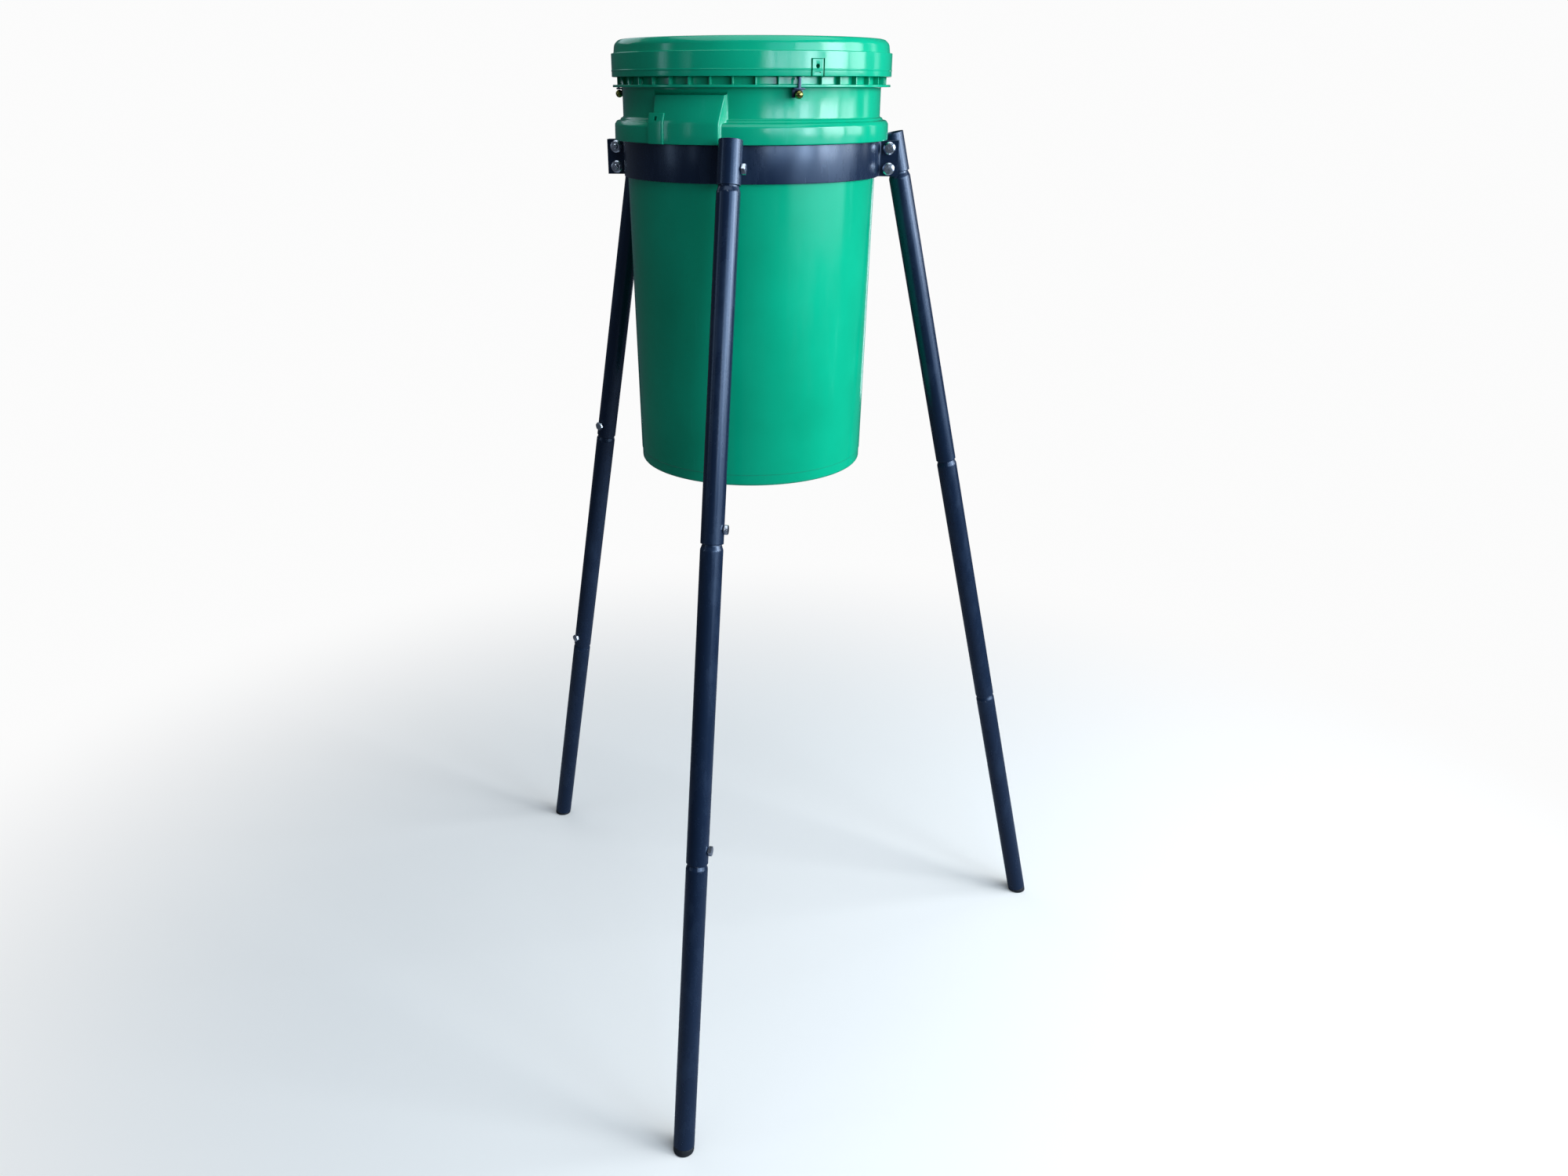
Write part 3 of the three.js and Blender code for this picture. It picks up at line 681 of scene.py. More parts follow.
def skirt_outline():
    """The lower part of the lid's skirt with its bead, from the inside round to the outside."""
    return [
        (LID_RADIUS - LID_WALL, LID_BOTTOM, 0.6),
        (LID_RADIUS, LID_BOTTOM, 0.8),
        (LID_RADIUS, BEAD - 0.9, 0.3),
        (LID_RADIUS + 0.5, BEAD, 0.5),
        (LID_RADIUS, BEAD + 0.9, 0.3),
    ]


def lid_shell():
    """The skirt, the inset upper tier with its round edge, and a recessed panel with one low ring."""
    panel = LID_TOP - 5
    return turned(
        [
            (0, panel - LID_WALL),
            (PANEL_RADIUS, panel - LID_WALL, 2.0),
            (133.8, LID_TOP - LID_WALL, 2.0),
            (148.2, LID_TOP - LID_WALL, 2.0),
            (149.2, STEP, 1.0),
            (LID_RADIUS - LID_WALL, STEP - LID_WALL, 1.0),
            *skirt_outline(),
            (LID_RADIUS, STEP + 0.4, 0.6),
            (153.3, STEP + 0.6, 0.3),
            (152.2, LID_TOP - 4.6, 2.6),
            (147.4, LID_TOP, 2.4),
            (135.4, LID_TOP, 1.6),
            (PANEL_RADIUS, panel, 2.4),
            (98, panel, 0.6),
            (97, panel + 1.2, 0.6),
            (93, panel + 1.2, 0.6),
            (92, panel, 0.6),
            (8, panel, 0.5),
            (7, panel - 0.7, 0.5),
            (0, panel - 0.7),
        ]
    )


def lid_opening():
    """What is cut from the skirt for the lock tab and its slits."""
    half = TAB_HALF_WIDTH + TAB_SLIT
    low = (-half, -LID_RADIUS - CLEAR, LID_BOTTOM - CLEAR)
    opening = block(low, (half, -TAB_INNER, TAB_TOP), 0)
    return moved(opening, Matrix.Rotation(TAB_AZIMUTH, 4, "Z"))


def lock_tab():
    """A piece of the skirt between its slits, with a round hole and a short slot under the bead."""
    top = TAB_TOP - 0.3
    skirt = [*skirt_outline(), (LID_RADIUS, top, 0.6), (LID_RADIUS - LID_WALL, top, 0.6)]
    ring = turned(skirt, ROUND_STEPS * 2)
    low = (-TAB_HALF_WIDTH, -LID_RADIUS - CLEAR, LID_BOTTOM - CLEAR)
    slab = block(low, (TAB_HALF_WIDTH, -TAB_INNER, TAB_TOP), 0)
    hole = moved(rod(TAB_HOLE_RADIUS, 0, LID_RADIUS + 5, edge=0), Matrix.Rotation(pi / 2, 4, "X"))
    moved(hole, Matrix.Translation((0, 0, TAB_HOLE_HEIGHT)))
    low = (-TAB_SLOT_HALF_WIDTH, -LID_RADIUS - CLEAR, TAB_SLOT_LOW)
    slot = block(low, (TAB_SLOT_HALF_WIDTH, 1.2 - LID_RADIUS, TAB_SLOT_HIGH), 0)
    tab = cut(boolean(ring, slab, "INTERSECT"), hole, slot)
    return bevelled(tab, 0.25)


def make_lid():
    shell = cut(lid_shell(), lid_opening())
    piece("lid_shell", shell, ON_AXIS, "lid", ["lid"], "green_plastic")
    at_tab = at_azimuth(TAB_AZIMUTH)
    piece("lock_tab_spring", lock_tab(), at_tab, "lock_tab", ["lock_tab"], "green_plastic")
    low, high = node_box("lid_gasket")
    outer = (high.x - low.x) / 2
    inner = NECK_RADIUS - PAIL_WALL - 2
    profile = [(inner, low.z, 1.2), (outer, low.z, 1.2), (outer, high.z, 1.2), (inner, high.z, 1.2)]
    piece("lid_seal_ring", turned(profile), ON_AXIS, "lid_seal", ["lid_gasket"], "rubber")


# ---- Ring clips ----------------------------------------------------------------------

# The fronts, backs and middles are distances from the pail's axis.
CLIP_FRONT = 157.7
CLIP_BACK = 149.5
JAW_FRONT = 151.5
HOOK_BACK = 151.4
STUD_BACK = 151.8
BALL_MIDDLE = 156.0
JAW_HALF_WIDTH = 6.0
JAW_HEIGHT = 9.3
STRAP_HALF_WIDTH = 1.5
STRAP_HEIGHT = 10.1
STRIP = 2.0  # the thickness of the bent strip
BALL_RADIUS = 4.2
STEM_RADIUS = 1.8
STEM_FOOT_RADIUS = 2.6


def clip_shape():
    """A bent strip that hooks over the ring, on a jaw under the ring."""
    jaw_top = RING_BOTTOM - 0.3
    top = jaw_top + STRAP_HEIGHT
    wide, thin = JAW_HALF_WIDTH, STRAP_HALF_WIDTH
    strap_back = STRIP - CLIP_FRONT
    jaw = block((-wide, -JAW_FRONT, jaw_top - JAW_HEIGHT), (wide, -CLIP_BACK, jaw_top), 0.6)
    shelf = block((-wide, -CLIP_FRONT, jaw_top - STRIP), (wide, -CLIP_BACK, jaw_top), 0.6)
    strap = block((-thin, -CLIP_FRONT, jaw_top - STRIP), (thin, strap_back, top), 0.5)
    hook = block((-thin, -CLIP_FRONT, top - STRIP), (thin, -HOOK_BACK, top), 0.5)
    return joined(jaw, shelf, strap, hook)


def stud_shape():
    """A ball on a waisted stem, pointing outwards."""
    start = asin(STEM_RADIUS / BALL_RADIUS)
    stem_top = BALL_MIDDLE - BALL_RADIUS * cos(start) - 0.2
    outline = [
        (0, STUD_BACK),
        (STEM_FOOT_RADIUS, STUD_BACK, 0.2),
        (STEM_FOOT_RADIUS - 0.2, STUD_BACK + 0.2, 0.1),
        (STEM_RADIUS, stem_top, 0.2),
    ]
    steps = 20
    for k in range(steps + 1):
        angle = pi - start - (pi - start) * k / steps
        radius = 0 if k == steps else BALL_RADIUS * sin(angle)
        outline.append((radius, BALL_MIDDLE + BALL_RADIUS * cos(angle), 0))
    stud = turned(outline, SMALL_STEPS)
    return moved(stud, Matrix.Rotation(pi / 2, 4, "X"))


def make_clips():
    for k in (1, 2, 3):
        low, high = node_box(f"ring_stud_{k}")
        middle = (low + high) / 2
        matrix = at_azimuth(azimuth_of(middle))
        piece(f"clip_{k}", clip_shape(), matrix, "pail", [f"ring_clip_{k}"], "black_paint")
        lifted = matrix @ Matrix.Translation((0, 0, middle.z))
        piece(f"clip_ball_{k}", stud_shape(), lifted, "pail", [f"ring_stud_{k}"], "brass")


# ---- Clamp band ----------------------------------------------------------------------


def band_path():
    """The bar's middle line in plan for the front half, from the +X tab round to the -X tab."""
    corner = sqrt(BAND_RADIUS**2 - TAB_MIDDLE**2)
    after = atan2(TAB_MIDDLE, corner) + TAB_BEND / BAND_RADIUS
    path = [(TAB_REACH, -TAB_MIDDLE), (corner + TAB_BEND + 6, -TAB_MIDDLE)]
    first = Vector((corner + TAB_BEND, -TAB_MIDDLE))
    last = Vector((BAND_RADIUS * cos(after), -BAND_RADIUS * sin(after)))
    at = Vector((corner, -TAB_MIDDLE))
    bend_steps = 8
    for k in range(bend_steps + 1):
        t = k / bend_steps
        path.append(tuple(first * (1 - t) ** 2 + at * (2 * t * (1 - t)) + last * t**2))
    steps = 44
    for k in range(1, steps + 1):
        angle = after + (pi / 2 - after) * k / steps
        path.append((BAND_RADIUS * cos(angle), -BAND_RADIUS * sin(angle)))
    return path + [(-x, y) for x, y in reversed(path[:-1])]


def swept_bar(path, thickness, low, high, corner=0.6):
    """A flat bar on edge along a path in plan, with softened long edges and chamfered ends."""
    half = thickness / 2
    corners = [(-half, low, corner), (half, low, corner), (half, high, corner), (-half, high, corner)]
    section = softened(corners)
    points = [Vector(p) for p in path]
    loops = []
    for k, point in enumerate(points):
        before = points[max(k - 1, 0)]
        after = points[min(k + 1, len(points) - 1)]
        run = (after - before).normalized()
        side = Vector((run.y, -run.x))
        loops.append([(*(point + side * across), up) for across, up, _ in section])
    return lofted(loops)


def bolt_places():
    """The four clamp bolts: the side's name, the row's name, x and height, and where the head faces."""
    for side, head in (("right", -1), ("left", 1)):
        for row in ("upper", "lower"):
            low, high = node_box(f"clamp_nut_{side}_{row}")
            middle = (low + high) / 2 - AXIS
            yield side, row, middle.x, middle.z, head


def band_half(turn):
    """Half of the band with its bolt holes, turned about the pail's axis."""
    bar = swept_bar(band_path(), BAND_THICKNESS, BAND_BOTTOM, BAND_TOP)
    holes = []
    for _, _, x, z, _ in bolt_places():
        hole = moved(rod(BOLT_RADIUS + HOLE_GAP, -12, 0, edge=0), Matrix.Rotation(-pi / 2, 4, "X"))
        holes.append(moved(hole, Matrix.Translation((x, 0, z))))
    return moved(cut(bar, merged(holes)), Matrix.Rotation(turn, 4, "Z"))


def hexagon(low, high, chamfer=0.9):
    """A hexagonal head or nut about +Z with its outer corners turned off."""
    corner = ACROSS_FLATS / sqrt(3)
    cone = turned(
        [
            (0, low),
            (corner + 0.3, low, 0),
            (corner + 0.3, high - chamfer * 0.6, 0),
            (corner - chamfer, high, 0.3),
            (0, high + 0.4),
        ],
        SMALL_STEPS * 2,
    )
    bar = prism(6, ACROSS_FLATS, low - 1, high + 1)
    return bevelled(boolean(cone, bar, "INTERSECT"), 0.18, 2, radians(50))


def flange():
    """The washer face under a head or nut, coned up to its flats."""
    top = FLANGE_HEIGHT + 0.3
    rim = FLANGE_HEIGHT / 2
    return turned(
        [
            (0, 0),
            (FLANGE_RADIUS, 0, 0.3),
            (FLANGE_RADIUS, rim, 0.3),
            (ACROSS_FLATS / 2, top, 0.3),
            (0, top),
        ],
        SMALL_STEPS,
    )


def threaded_rod(start, end, pitch=1.0):
    """A bolt's shank from start down to end, with rings for its thread."""
    outline = [(0, end), (BOLT_RADIUS - 0.8, end, 0.1), (BOLT_RADIUS - 0.1, end + 0.7, 0.1)]
    count = int((start - end - 2) / pitch)
    for k in range(count):
        base = end + 1 + k * pitch
        outline += [(BOLT_RADIUS - 0.45, base, 0), (BOLT_RADIUS, base + pitch / 2, 0)]
    outline += [(BOLT_RADIUS - 0.1, start - 0.5, 0), (BOLT_RADIUS - 0.1, start, 0), (0, start)]
    return turned(outline, SMALL_STEPS)


def clamp_bolt(shank):
    """A flanged bolt about +Z with its bearing face at 0 and its head above."""
    head = joined(flange(), hexagon(FLANGE_HEIGHT / 2, BOLT_HEAD_TOP))
    return joined(head, threaded_rod(0.5, -shank))


def clamp_nut():
    """A flanged nut about +Z, bored for its bolt."""
    body = joined(flange(), hexagon(FLANGE_HEIGHT / 2, NUT_TOP))
    return cut(body, rod(BOLT_RADIUS + 0.2, -CLEAR, NUT_TOP + CLEAR, edge=0))


def make_band():
    piece("band_front_bar", band_half(0), ON_AXIS, "stand_head", ["band_front"], "black_paint")
    piece("band_rear_bar", band_half(pi), ON_AXIS, "stand_head", ["band_rear"], "black_paint")
    seat = TAB_MIDDLE + BAND_THICKNESS / 2 + 0.3
    shank = 2 * seat + 7
    for side, row, x, z, head in bolt_places():
        for kind, shape, facing in (("bolt", clamp_bolt(shank), head), ("nut", clamp_nut(), -head)):
            turn = Matrix.Rotation(-facing * pi / 2, 4, "X")
            place = ON_AXIS @ Matrix.Translation((x, facing * seat, z)) @ turn
            node = f"clamp_{kind}_{side}_{row}"
            piece(f"{node}_turned", shape, place, "stand_head", [node], "zinc_steel")


# ---- Legs ----------------------------------------------------------------------------


def leg_place(name):
    """A leg's place: the origin at its socket's lower end, -Z down the leg, +X counter-clockwise."""
    foot = Vector(mount_named(f"foot_{name}_rest")["pos_m"]) / MM
    down = Vector(joint_named(f"leg_{name}_upper_pull")["axis"]).normalized()
    origin = foot - down * LEG_SECTION * LEG_SECTIONS
    side = Vector((-down.y, down.x, 0)).normalized()
    up = -down
    across = up.cross(side)
    turn = Matrix((side, across, up)).transposed().to_4x4()
    return Matrix.Translation(origin) @ turn


def tube_outline(low):
    """A leg tube's wall from its lower end up through the taper to the top of its neck."""
    inner = LEG_RADIUS - LEG_WALL
    neck_inner = LEG_NECK_RADIUS - LEG_WALL
    shoulder = LEG_SECTION - SHOULDER_GAP
    top = LEG_SECTION + LEG_NECK_LENGTH
    return [
        (inner, low, 0.3),
        (LEG_RADIUS, low, 0.5, 0.7),
        (LEG_RADIUS, shoulder - LEG_TAPER, 1.0, 0.8),
        (LEG_NECK_RADIUS, shoulder, 0.8, 0.6),
        (LEG_NECK_RADIUS, top - 2, 0.5),
        (LEG_NECK_RADIUS - 0.6, top, 0.4),
        (neck_inner, top, 0.3),
        (neck_inner, shoulder, 1.0),
        (inner, shoulder - LEG_TAPER, 1.0),
    ]


def screw_hole():
    """The hole in a tube for its set screw."""
    hole = along_x(rod(BOLT_RADIUS + HOLE_GAP, LEG_NECK_RADIUS / 2, LEG_RADIUS + 3, edge=0))
    return moved(hole, Matrix.Translation((0, 0, SCREW_HEIGHT)))


def set_screw():
    """A hex screw in the side of a tube, pressing on the neck inside."""
    seat = LEG_RADIUS + 0.3
    head = moved(hexagon(0, SET_SCREW_HEAD), Matrix.Translation((0, 0, seat)))
    shank = rod(BOLT_RADIUS, LEG_NECK_RADIUS + 0.3, seat + 1)
    return moved(along_x(joined(head, shank)), Matrix.Translation((0, 0, SCREW_HEIGHT)))


def socket_shape(place):
    """The socket tube and its web, in the pail's axis frame turned to the socket's azimuth.

    Also gives that azimuth, the web's outline, and a call for the tube skin's radius at a height.
    """
    low, high = BAND_BOTTOM + 1, BAND_TOP - 1
    origin = place.translation
    azimuth = azimuth_of(origin)
    to_local = at_azimuth(azimuth).inverted() @ place
    tube = turned(
        [
            (LEG_RADIUS - LEG_WALL, 0),
            (LEG_RADIUS, 0, 0.5, 0.6),
            (LEG_RADIUS, SOCKET_LENGTH, 0.5, 0.5),
            (LEG_RADIUS - LEG_WALL, SOCKET_LENGTH),
        ],
        TUBE_STEPS,
    )
    bar_out = BAND_RADIUS + BAND_THICKNESS / 2 + 0.15
    down = place.to_3x3() @ Vector((0, 0, -1))
    lean = tan(atan2(Vector(down[:2]).length, -down.z))
    reach = (origin - AXIS).to_2d().length

    def skin_at(z):
        return reach - (z - origin.z) * lean - LEG_RADIUS

    into = LEG_RADIUS / 2
    side = [
        (bar_out, low),
        (skin_at(low) + into, low),
        (skin_at(high) + into, high),
        (bar_out, high),
    ]
    web = lofted([[(x, -r, z) for r, z in side] for x in (-WEB_HALF, WEB_HALF)])
    moved(tube, to_local)
    bore = moved(rod(LEG_RADIUS - LEG_WALL, -CLEAR, SOCKET_LENGTH + CLEAR, TUBE_STEPS, 0), to_local)
    hole = moved(screw_hole(), to_local)
    return cut(joined(tube, web), bore, hole), azimuth, side, skin_at


def weld_bead(start, end, radius=1.7):
    """A rippled run of weld between two points."""
    start, end = Vector(start), Vector(end)
    steps = 48
    sides = 12
    ripples = 11
    run = (end - start).normalized()
    side = Vector((1, 0, 0))
    across = run.cross(side).normalized()
    angles = [2 * pi * j / sides for j in range(sides)]
    loops = []
    for k in range(steps + 1):
        t = k / steps
        taper = min(1.0, 8 * t + 0.25, 8 * (1 - t) + 0.25)
        size = radius * taper * (1 + 0.13 * sin(2 * pi * ripples * t))
        middle = start.lerp(end, t)
        loops.append([middle + (side * cos(a) + across * sin(a)) * size for a in angles])
    return lofted(loops)


def make_socket(name, place):
    shape, azimuth, side, skin_at = socket_shape(place)
    turned_to = at_azimuth(azimuth)
    node = f"socket_{name}"
    piece(f"{node}_tube", shape, turned_to, "stand_head", [node], "black_paint")
    low, high = side[0][1], side[2][1]
    beads = []
    for x in (-WEB_HALF, WEB_HALF):
        beads.append(weld_bead((x, -side[0][0], low), (x, -side[3][0], high)))
        out = x * 1.2
        start = low + 2
        beads.append(weld_bead((out, -skin_at(start), start), (out, -skin_at(high), high)))
    piece(f"{node}_welds", merged(beads), turned_to, "stand_head", [], "black_paint")
    screw = f"socket_screw_{name}"
    piece(f"{screw}_turned", set_screw(), place, "stand_head", [screw], "zinc_steel")


def foot_shape(place):
    """A plug in the end of the lowest tube, cut level with the floor, in the part's frame."""
    end = FOOT_DEPTH - LEG_SECTION * LEG_SECTIONS
    below = end - FOOT_DEPTH - LEG_RADIUS
    stem = LEG_RADIUS - LEG_WALL - 0.3
    stem_top = end + 18
    plug = turned(
        [
            (0, below),
            (FOOT_RADIUS, below, 0),
            (FOOT_RADIUS, end - 0.3, 0.6),
            (stem, end - 0.3, 0),
            (stem, stem_top, 1.0),
            (0, stem_top),
        ],
        TUBE_STEPS,
    )
    moved(plug, place)
    whole = plug.verts[:] + plug.edges[:] + plug.faces[:]
    level = {"plane_co": (0, 0, 0), "plane_no": (0, 0, -1)}
    made = bmesh.ops.bisect_plane(plug, geom=whole, clear_outer=True, **level)
    rim = [e for e in made["geom_cut"] if isinstance(e, bmesh.types.BMEdge)]
    bmesh.ops.holes_fill(plug, edges=rim)
    edges = [e for e in plug.edges if all(abs(v.co.z) < 1e-4 for v in e.verts)]
    bmesh.ops.bevel(plug, geom=edges, offset=0.9, segments=3, profile=0.6, affect="EDGES")
    return plug


def make_leg(name):
    place = leg_place(name)
    make_socket(name, place)
    for k, row in enumerate(("upper", "middle", "lower")):
        body = f"leg_{name}_{row}"
        down = place @ Matrix.Translation((0, 0, -(k + 1) * LEG_SECTION))
        last = k == LEG_SECTIONS - 1
        tube = turned(tube_outline(FOOT_DEPTH if last else 0.0), TUBE_STEPS)
        if not last:
            tube = cut(tube, screw_hole())
            screw = f"leg_screw_{name}_{row}"
            piece(f"{screw}_turned", set_screw(), down, body, [screw], "zinc_steel")
        piece(f"{body}_tube", tube, down, body, [body], "black_paint")
    foot = f"foot_{name}"
    piece(f"{foot}_plug", foot_shape(place), Matrix(), f"leg_{name}_lower", [foot], "rubber")


# ---- Outlet --------------------------------------------------------------------------

BORE = 17.0
SPOUT_WALL = 3.0
SPOUT_FLANGE_RADIUS = 32.0
SPOUT_FLANGE = 3.0  # its thickness
SPOUT_THREADS = 4
SPOUT_THREAD_PITCH = 3.0
SPOUT_THREAD_START = 7.5  # above the spout's lower end
LUG_HEIGHT = 5.0
PIVOT_OFFSET = 30.0
PIVOT_RADIUS = 2.5
AT_PIVOT = Matrix.Translation((0, PIVOT_OFFSET, 0))
ARM_HALF_WIDTH = 4.0
HUB_RADIUS = 6.0


def pivot_hole(low, high):
    """What is cut from the lug and the gate for the pin, with a little to spare at both ends."""
    return moved(rod(PIVOT_RADIUS + HOLE_GAP, low - CLEAR, high + CLEAR, edge=0), AT_PIVOT)


def funnel():
    """The cone inside the pail that leads the feed down to the spout."""
    low, high = node_box("feed_funnel")
    top = (high.x - low.x) / 2
    return turned(
        [
            (BORE, low.z, 0.5),
            (BORE + 3, low.z, 0.5),
            (top, high.z - 2, 0.6),
            (top, high.z, 0.6),
            (top - 2, high.z, 0.6),
            (BORE, low.z + 2, 2.0),
        ]
    )


def collar():
    """The threaded spout with its flange inside the pail, and the lug that the gate turns on."""
    low, high = node_box("outlet_collar")
    outer = BORE + SPOUT_WALL
    flange_low = high.z - SPOUT_FLANGE
    outline = [(BORE, low.z, 0.5), (outer, low.z, 0.5)]
    for k in range(SPOUT_THREADS):
        base = low.z + SPOUT_THREAD_START + SPOUT_THREAD_PITCH * k
        outline += [(outer - 0.7, base, 0.3), (outer, base + SPOUT_THREAD_PITCH / 2, 0.3)]
    outline += [
        (outer, flange_low, 0.6),
        (SPOUT_FLANGE_RADIUS, flange_low, 0.6),
        (SPOUT_FLANGE_RADIUS, high.z, 0.6),
        (BORE, high.z, 0.6),
    ]
    spout = turned(outline, ROUND_STEPS // 2)
    lug_top = low.z + LUG_HEIGHT
    lug = moved(rod(HUB_RADIUS, low.z, lug_top, edge=0.5), AT_PIVOT)
    arm = block((-ARM_HALF_WIDTH, BORE + 1, low.z), (ARM_HALF_WIDTH, PIVOT_OFFSET, lug_top), 0)
    return cut(joined(spout, arm, lug), pivot_hole(low.z, lug_top))


def lock_nut():
    """The octagonal nut that holds the spout in the pail's floor."""
    low, high = node_box("outlet_nut")
    sides = 8
    across = (high.x - low.x) * cos(pi / sides)
    bar = moved(prism(sides, across, low.z, high.z), Matrix.Rotation(pi / 2, 4, "Z"))
    bore = rod(BORE + SPOUT_WALL + 0.3, low.z - CLEAR, high.z + CLEAR, ROUND_STEPS // 2, 0)
    return cut(bevelled(bar, 0.8, 3), bore)


def gate():
    """The shutter plate with its arm to the pivot and a tail to push."""
    low, high = node_box("outlet_gate")
    plate = BORE + 4
    disc = rod(plate, low.z, high.z, ROUND_STEPS // 2, 0)
    hub = moved(rod(HUB_RADIUS, low.z, high.z, edge=0), AT_PIVOT)
    arm = block((-ARM_HALF_WIDTH, plate - 3, low.z), (ARM_HALF_WIDTH, PIVOT_OFFSET, high.z), 0)
    tail = block((-HUB_RADIUS, -plate - 14, low.z), (HUB_RADIUS, 3 - plate, high.z), 0)
    whole = joined(disc, hub, arm, tail)
    return bevelled(cut(whole, pivot_hole(low.z, high.z)), 0.4)


def pin():
    """The pin that the gate turns on, with its head below."""
    low, high = node_box("gate_pin")
    head_top = node_box("outlet_gate")[0].z - 0.3
    return turned(
        [
            (0, low.z),
            (PIVOT_RADIUS + 2, low.z, 0.8),
            (PIVOT_RADIUS + 2, head_top, 0.3),
            (PIVOT_RADIUS, head_top, 0.1),
            (PIVOT_RADIUS, high.z, 0.5),
            (0, high.z),
        ],
        SMALL_STEPS,
    )


def make_outlet():
    piece("funnel_cone", funnel(), ON_AXIS, "pail", ["feed_funnel"], "dark_plastic")
    piece("spout_collar", collar(), ON_AXIS, "pail", ["outlet_collar"], "dark_plastic")
    piece("spout_nut", lock_nut(), ON_AXIS, "pail", ["outlet_nut"], "dark_plastic")
    piece("gate_plate", gate(), ON_AXIS, "gate", ["outlet_gate"], "zinc_steel")
    piece("gate_pivot_pin", pin(), ON_AXIS @ AT_PIVOT, "pail", ["gate_pin"], "zinc_steel")


# ---- Floor, light and camera ---------------------------------------------------------

CAMERA_AZIMUTH = radians(7.36)
CAMERA_DISTANCE = 1.4177  # metres, level, from the pail's axis
CAMERA_HEIGHT = 1.1671  # metres
CAMERA_HEADING = radians(7.73)
CAMERA_PITCH = radians(24.05)
CAMERA_LENS = 26.40
CAMERA_SENSOR = 36.0
CAMERA_SHIFT = (0.0259, 0.0073)
BACKGROUND = (0.97, 0.97, 0.97)
ROOM = (0.05, 0.06, 0.08)
AIM_HEIGHT = 1.0  # metres, where the windows of light face
CEILING_HEIGHT = 3.4  # metres
FADE_START = 0.5  # metres from the middle, where the floor begins to turn into the background
FADE_END = 1.6
FLOOR_SIZE = 40.0
FLOOR_DROP = 0.0005  # metres below the feet
FLOOR_COLOUR = (0.98, 0.92, 0.83)
FLOOR_ELSEWHERE = (0.2, 0.21, 0.24)  # the floor that the object is lit by and mirrors


def make_camera():
    camera = bpy.data.cameras.new("camera")
    camera.lens = CAMERA_LENS
    camera.sensor_width = CAMERA_SENSOR
    camera.shift_x, camera.shift_y = CAMERA_SHIFT
    obj = bpy.data.objects.new("camera", camera)
    bpy.context.scene.collection.objects.link(obj)
    out = Vector((sin(CAMERA_AZIMUTH), -cos(CAMERA_AZIMUTH), 0)) * CAMERA_DISTANCE
    obj.location = AXIS * MM + out + Vector((0, 0, CAMERA_HEIGHT))
    obj.rotation_euler = (pi / 2 - CAMERA_PITCH, 0, CAMERA_HEADING)
    bpy.context.scene.camera = obj


def make_light(name, azimuth, distance, low, high, width, strength, colour):
    """A window of light round the pail, in metres, tilted to face it. Strength is its brightness."""
    light = bpy.data.lights.new(name, "AREA")
    light.shape = "RECTANGLE"
    light.size, light.size_y = width, high - low
    light.energy = strength * pi * width * (high - low)
    light.color = colour
    obj = bpy.data.objects.new(name, light)
    bpy.context.scene.collection.objects.link(obj)
    angle = radians(azimuth)
    middle = AXIS * MM + Vector((sin(angle), -cos(angle), 0)) * distance
    height = (low + high) / 2
    obj.location = (middle.x, middle.y, height)
    obj.rotation_euler = (pi / 2 - atan2(height - AIM_HEIGHT, distance), 0, angle)
    return obj


def make_lights():
    """A row of windows on the right, a few faint ones elsewhere, and a soft ceiling."""
    sky = (0.36, 0.62, 1.0)
    cool = (0.62, 0.79, 1.0)
    pale = (0.78, 0.88, 1.0)
    windows = (
        ("window_right_a", 31, 3.0, 1.0, 2.5, 1.1, 2.0, sky),
        ("window_right_b", 54, 3.0, 1.0, 2.5, 1.1, 6.0, cool),
        ("window_right_c", 77, 3.0, 1.0, 2.6, 1.1, 15.0, pale),
        ("window_right_d", 99, 3.0, 1.0, 2.6, 1.0, 7.0, pale),
        ("window_right_e", 125, 3.0, 1.0, 2.2, 0.4, 1.6, pale),
        ("pane_a", 21, 2.9, 1.18, 1.7, 0.4, 6.0, pale),
        ("pane_b", 31, 2.9, 1.18, 1.7, 0.4, 6.0, pale),
        ("pane_c", 41, 2.9, 1.18, 1.7, 0.4, 6.0, pale),
        ("pane_d", 54, 2.9, 1.05, 1.7, 0.5, 8.0, pale),
        ("ground_right", 72, 3.0, 0.3, 0.98, 3.4, 2.0, cool),
        ("window_left_a", -44, 3.0, 1.0, 2.0, 0.3, 1.0, cool),
        ("window_left_b", -66, 3.0, 0.9, 2.2, 0.4, 2.0, cool),
        ("window_back_left", -140, 3.0, 2.0, 3.2, 3.0, 1.0, pale),
        ("window_back_right", 165, 3.0, 0.05, 0.9, 0.3, 2.0, pale),
    )
    for window in windows:
        make_light(*window)
    top = make_light("ceiling", 20, 0.3, 0.0, 3.0, 3.0, 1.5, pale)
    top.location.z = CEILING_HEIGHT
    top.rotation_euler = (0, 0, 0)


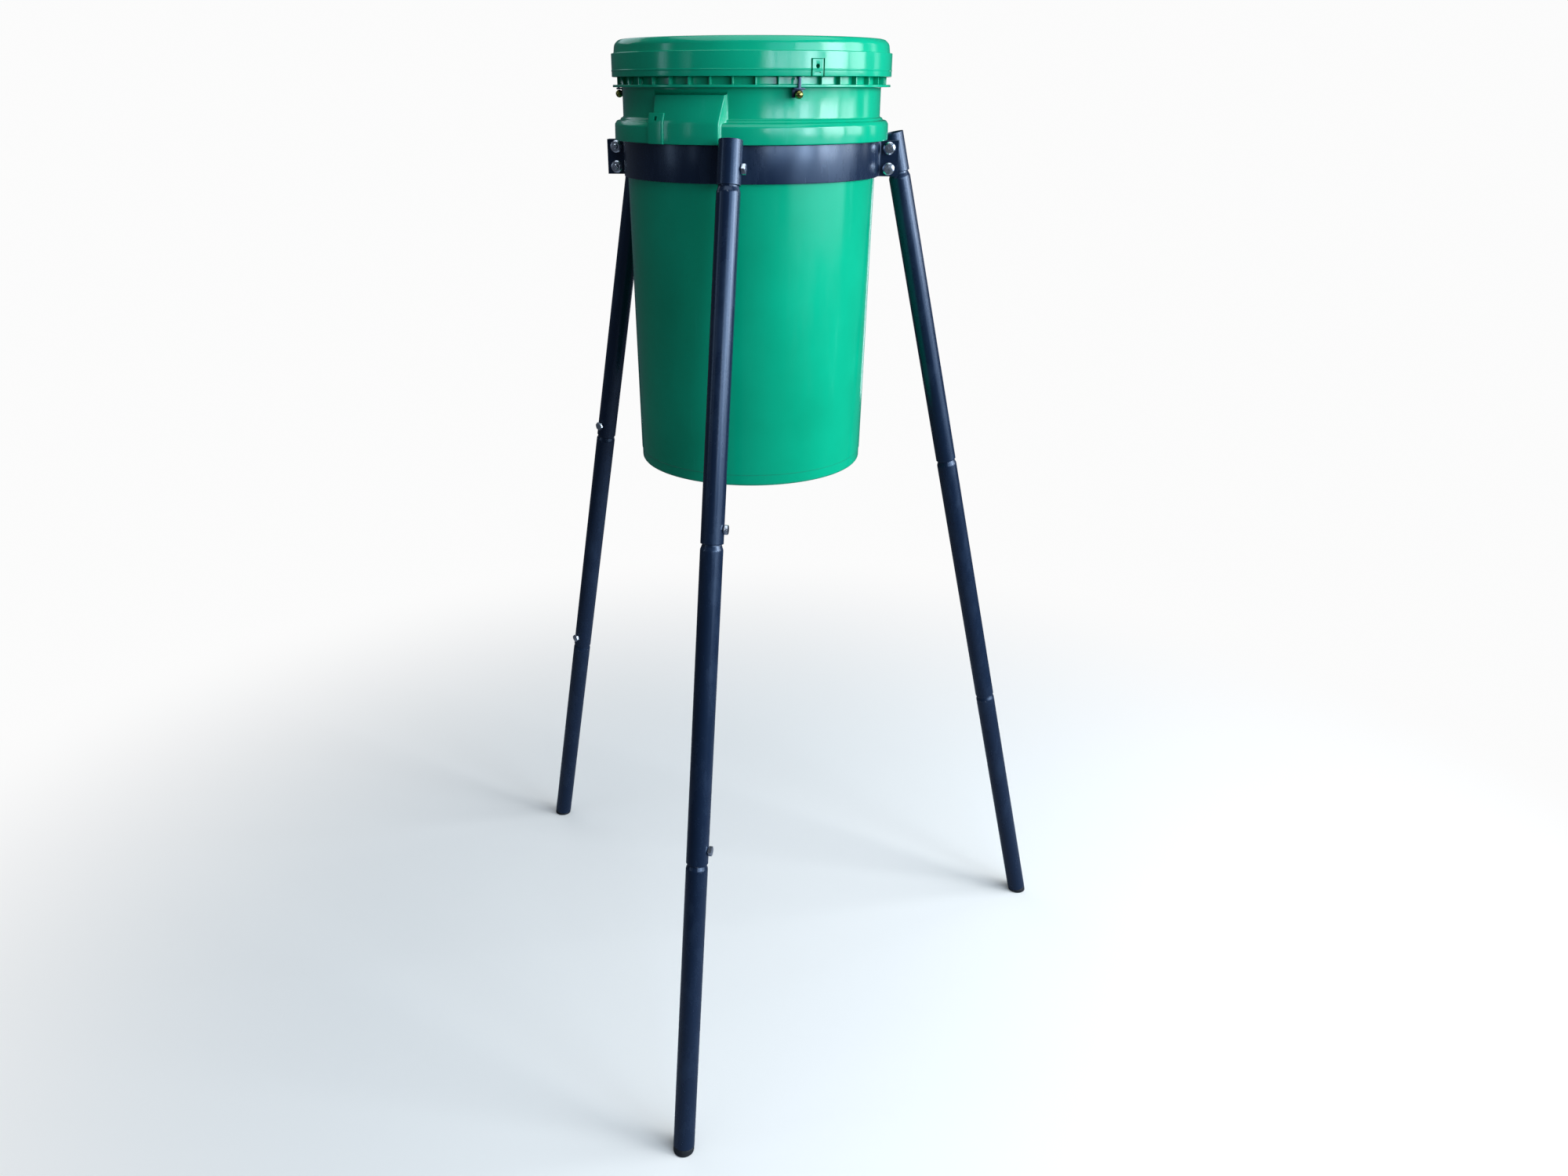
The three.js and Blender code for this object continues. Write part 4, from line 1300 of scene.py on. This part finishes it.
def seen_as(tree, elsewhere, seen, target):
    """Feeds a colour to a socket: one to the camera, and another to every other ray."""
    rays = tree.nodes.new("ShaderNodeLightPath")
    mix = tree.nodes.new("ShaderNodeMix")
    mix.data_type = "RGBA"
    mix.inputs[6].default_value = (*elsewhere, 1)
    mix.inputs[7].default_value = (*seen, 1)
    tree.links.new(rays.outputs["Is Camera Ray"], mix.inputs["Factor"])
    tree.links.new(mix.outputs[2], target)


def make_world():
    """White to the camera and a soft grey room to everything else."""
    world = bpy.data.worlds.new("world")
    bpy.context.scene.world = world
    world.use_nodes = True
    tree = world.node_tree
    seen_as(tree, ROOM, BACKGROUND, tree.nodes["Background"].inputs["Color"])


def make_floor():
    """A pale floor that fades into the background away from the feet."""
    bm = bmesh.new()
    bmesh.ops.create_grid(bm, x_segments=2, y_segments=2, size=FLOOR_SIZE)
    floor = as_object(bm, "floor")
    floor.location.z = -FLOOR_DROP
    material = bpy.data.materials.new("floor")
    material.use_nodes = True
    tree = material.node_tree
    shader = tree.nodes["Principled BSDF"]
    shader.inputs["Roughness"].default_value = 0.9
    seen_as(tree, FLOOR_ELSEWHERE, FLOOR_COLOUR, shader.inputs["Base Color"])
    glow = tree.nodes.new("ShaderNodeEmission")
    seen_as(tree, ROOM, BACKGROUND, glow.inputs["Color"])
    place = tree.nodes.new("ShaderNodeTexCoord")
    length = tree.nodes.new("ShaderNodeVectorMath")
    length.operation = "LENGTH"
    tree.links.new(place.outputs["Object"], length.inputs[0])
    fade = tree.nodes.new("ShaderNodeMapRange")
    fade.interpolation_type = "SMOOTHSTEP"
    fade.inputs["From Min"].default_value = FADE_START
    fade.inputs["From Max"].default_value = FADE_END
    tree.links.new(length.outputs["Value"], fade.inputs["Value"])
    mix = tree.nodes.new("ShaderNodeMixShader")
    tree.links.new(fade.outputs["Result"], mix.inputs["Fac"])
    tree.links.new(shader.outputs["BSDF"], mix.inputs[1])
    tree.links.new(glow.outputs["Emission"], mix.inputs[2])
    tree.links.new(mix.outputs["Shader"], tree.nodes["Material Output"].inputs["Surface"])
    floor.data.materials.append(material)


# ---- The whole scene -----------------------------------------------------------------

make_camera()
make_world()
make_lights()
make_floor()
make_pail()
make_lid()
make_clips()
make_band()
for leg_name in ("front", "right", "left"):
    make_leg(leg_name)
make_outlet()
bpy.context.scene.view_settings.view_transform = "Standard"
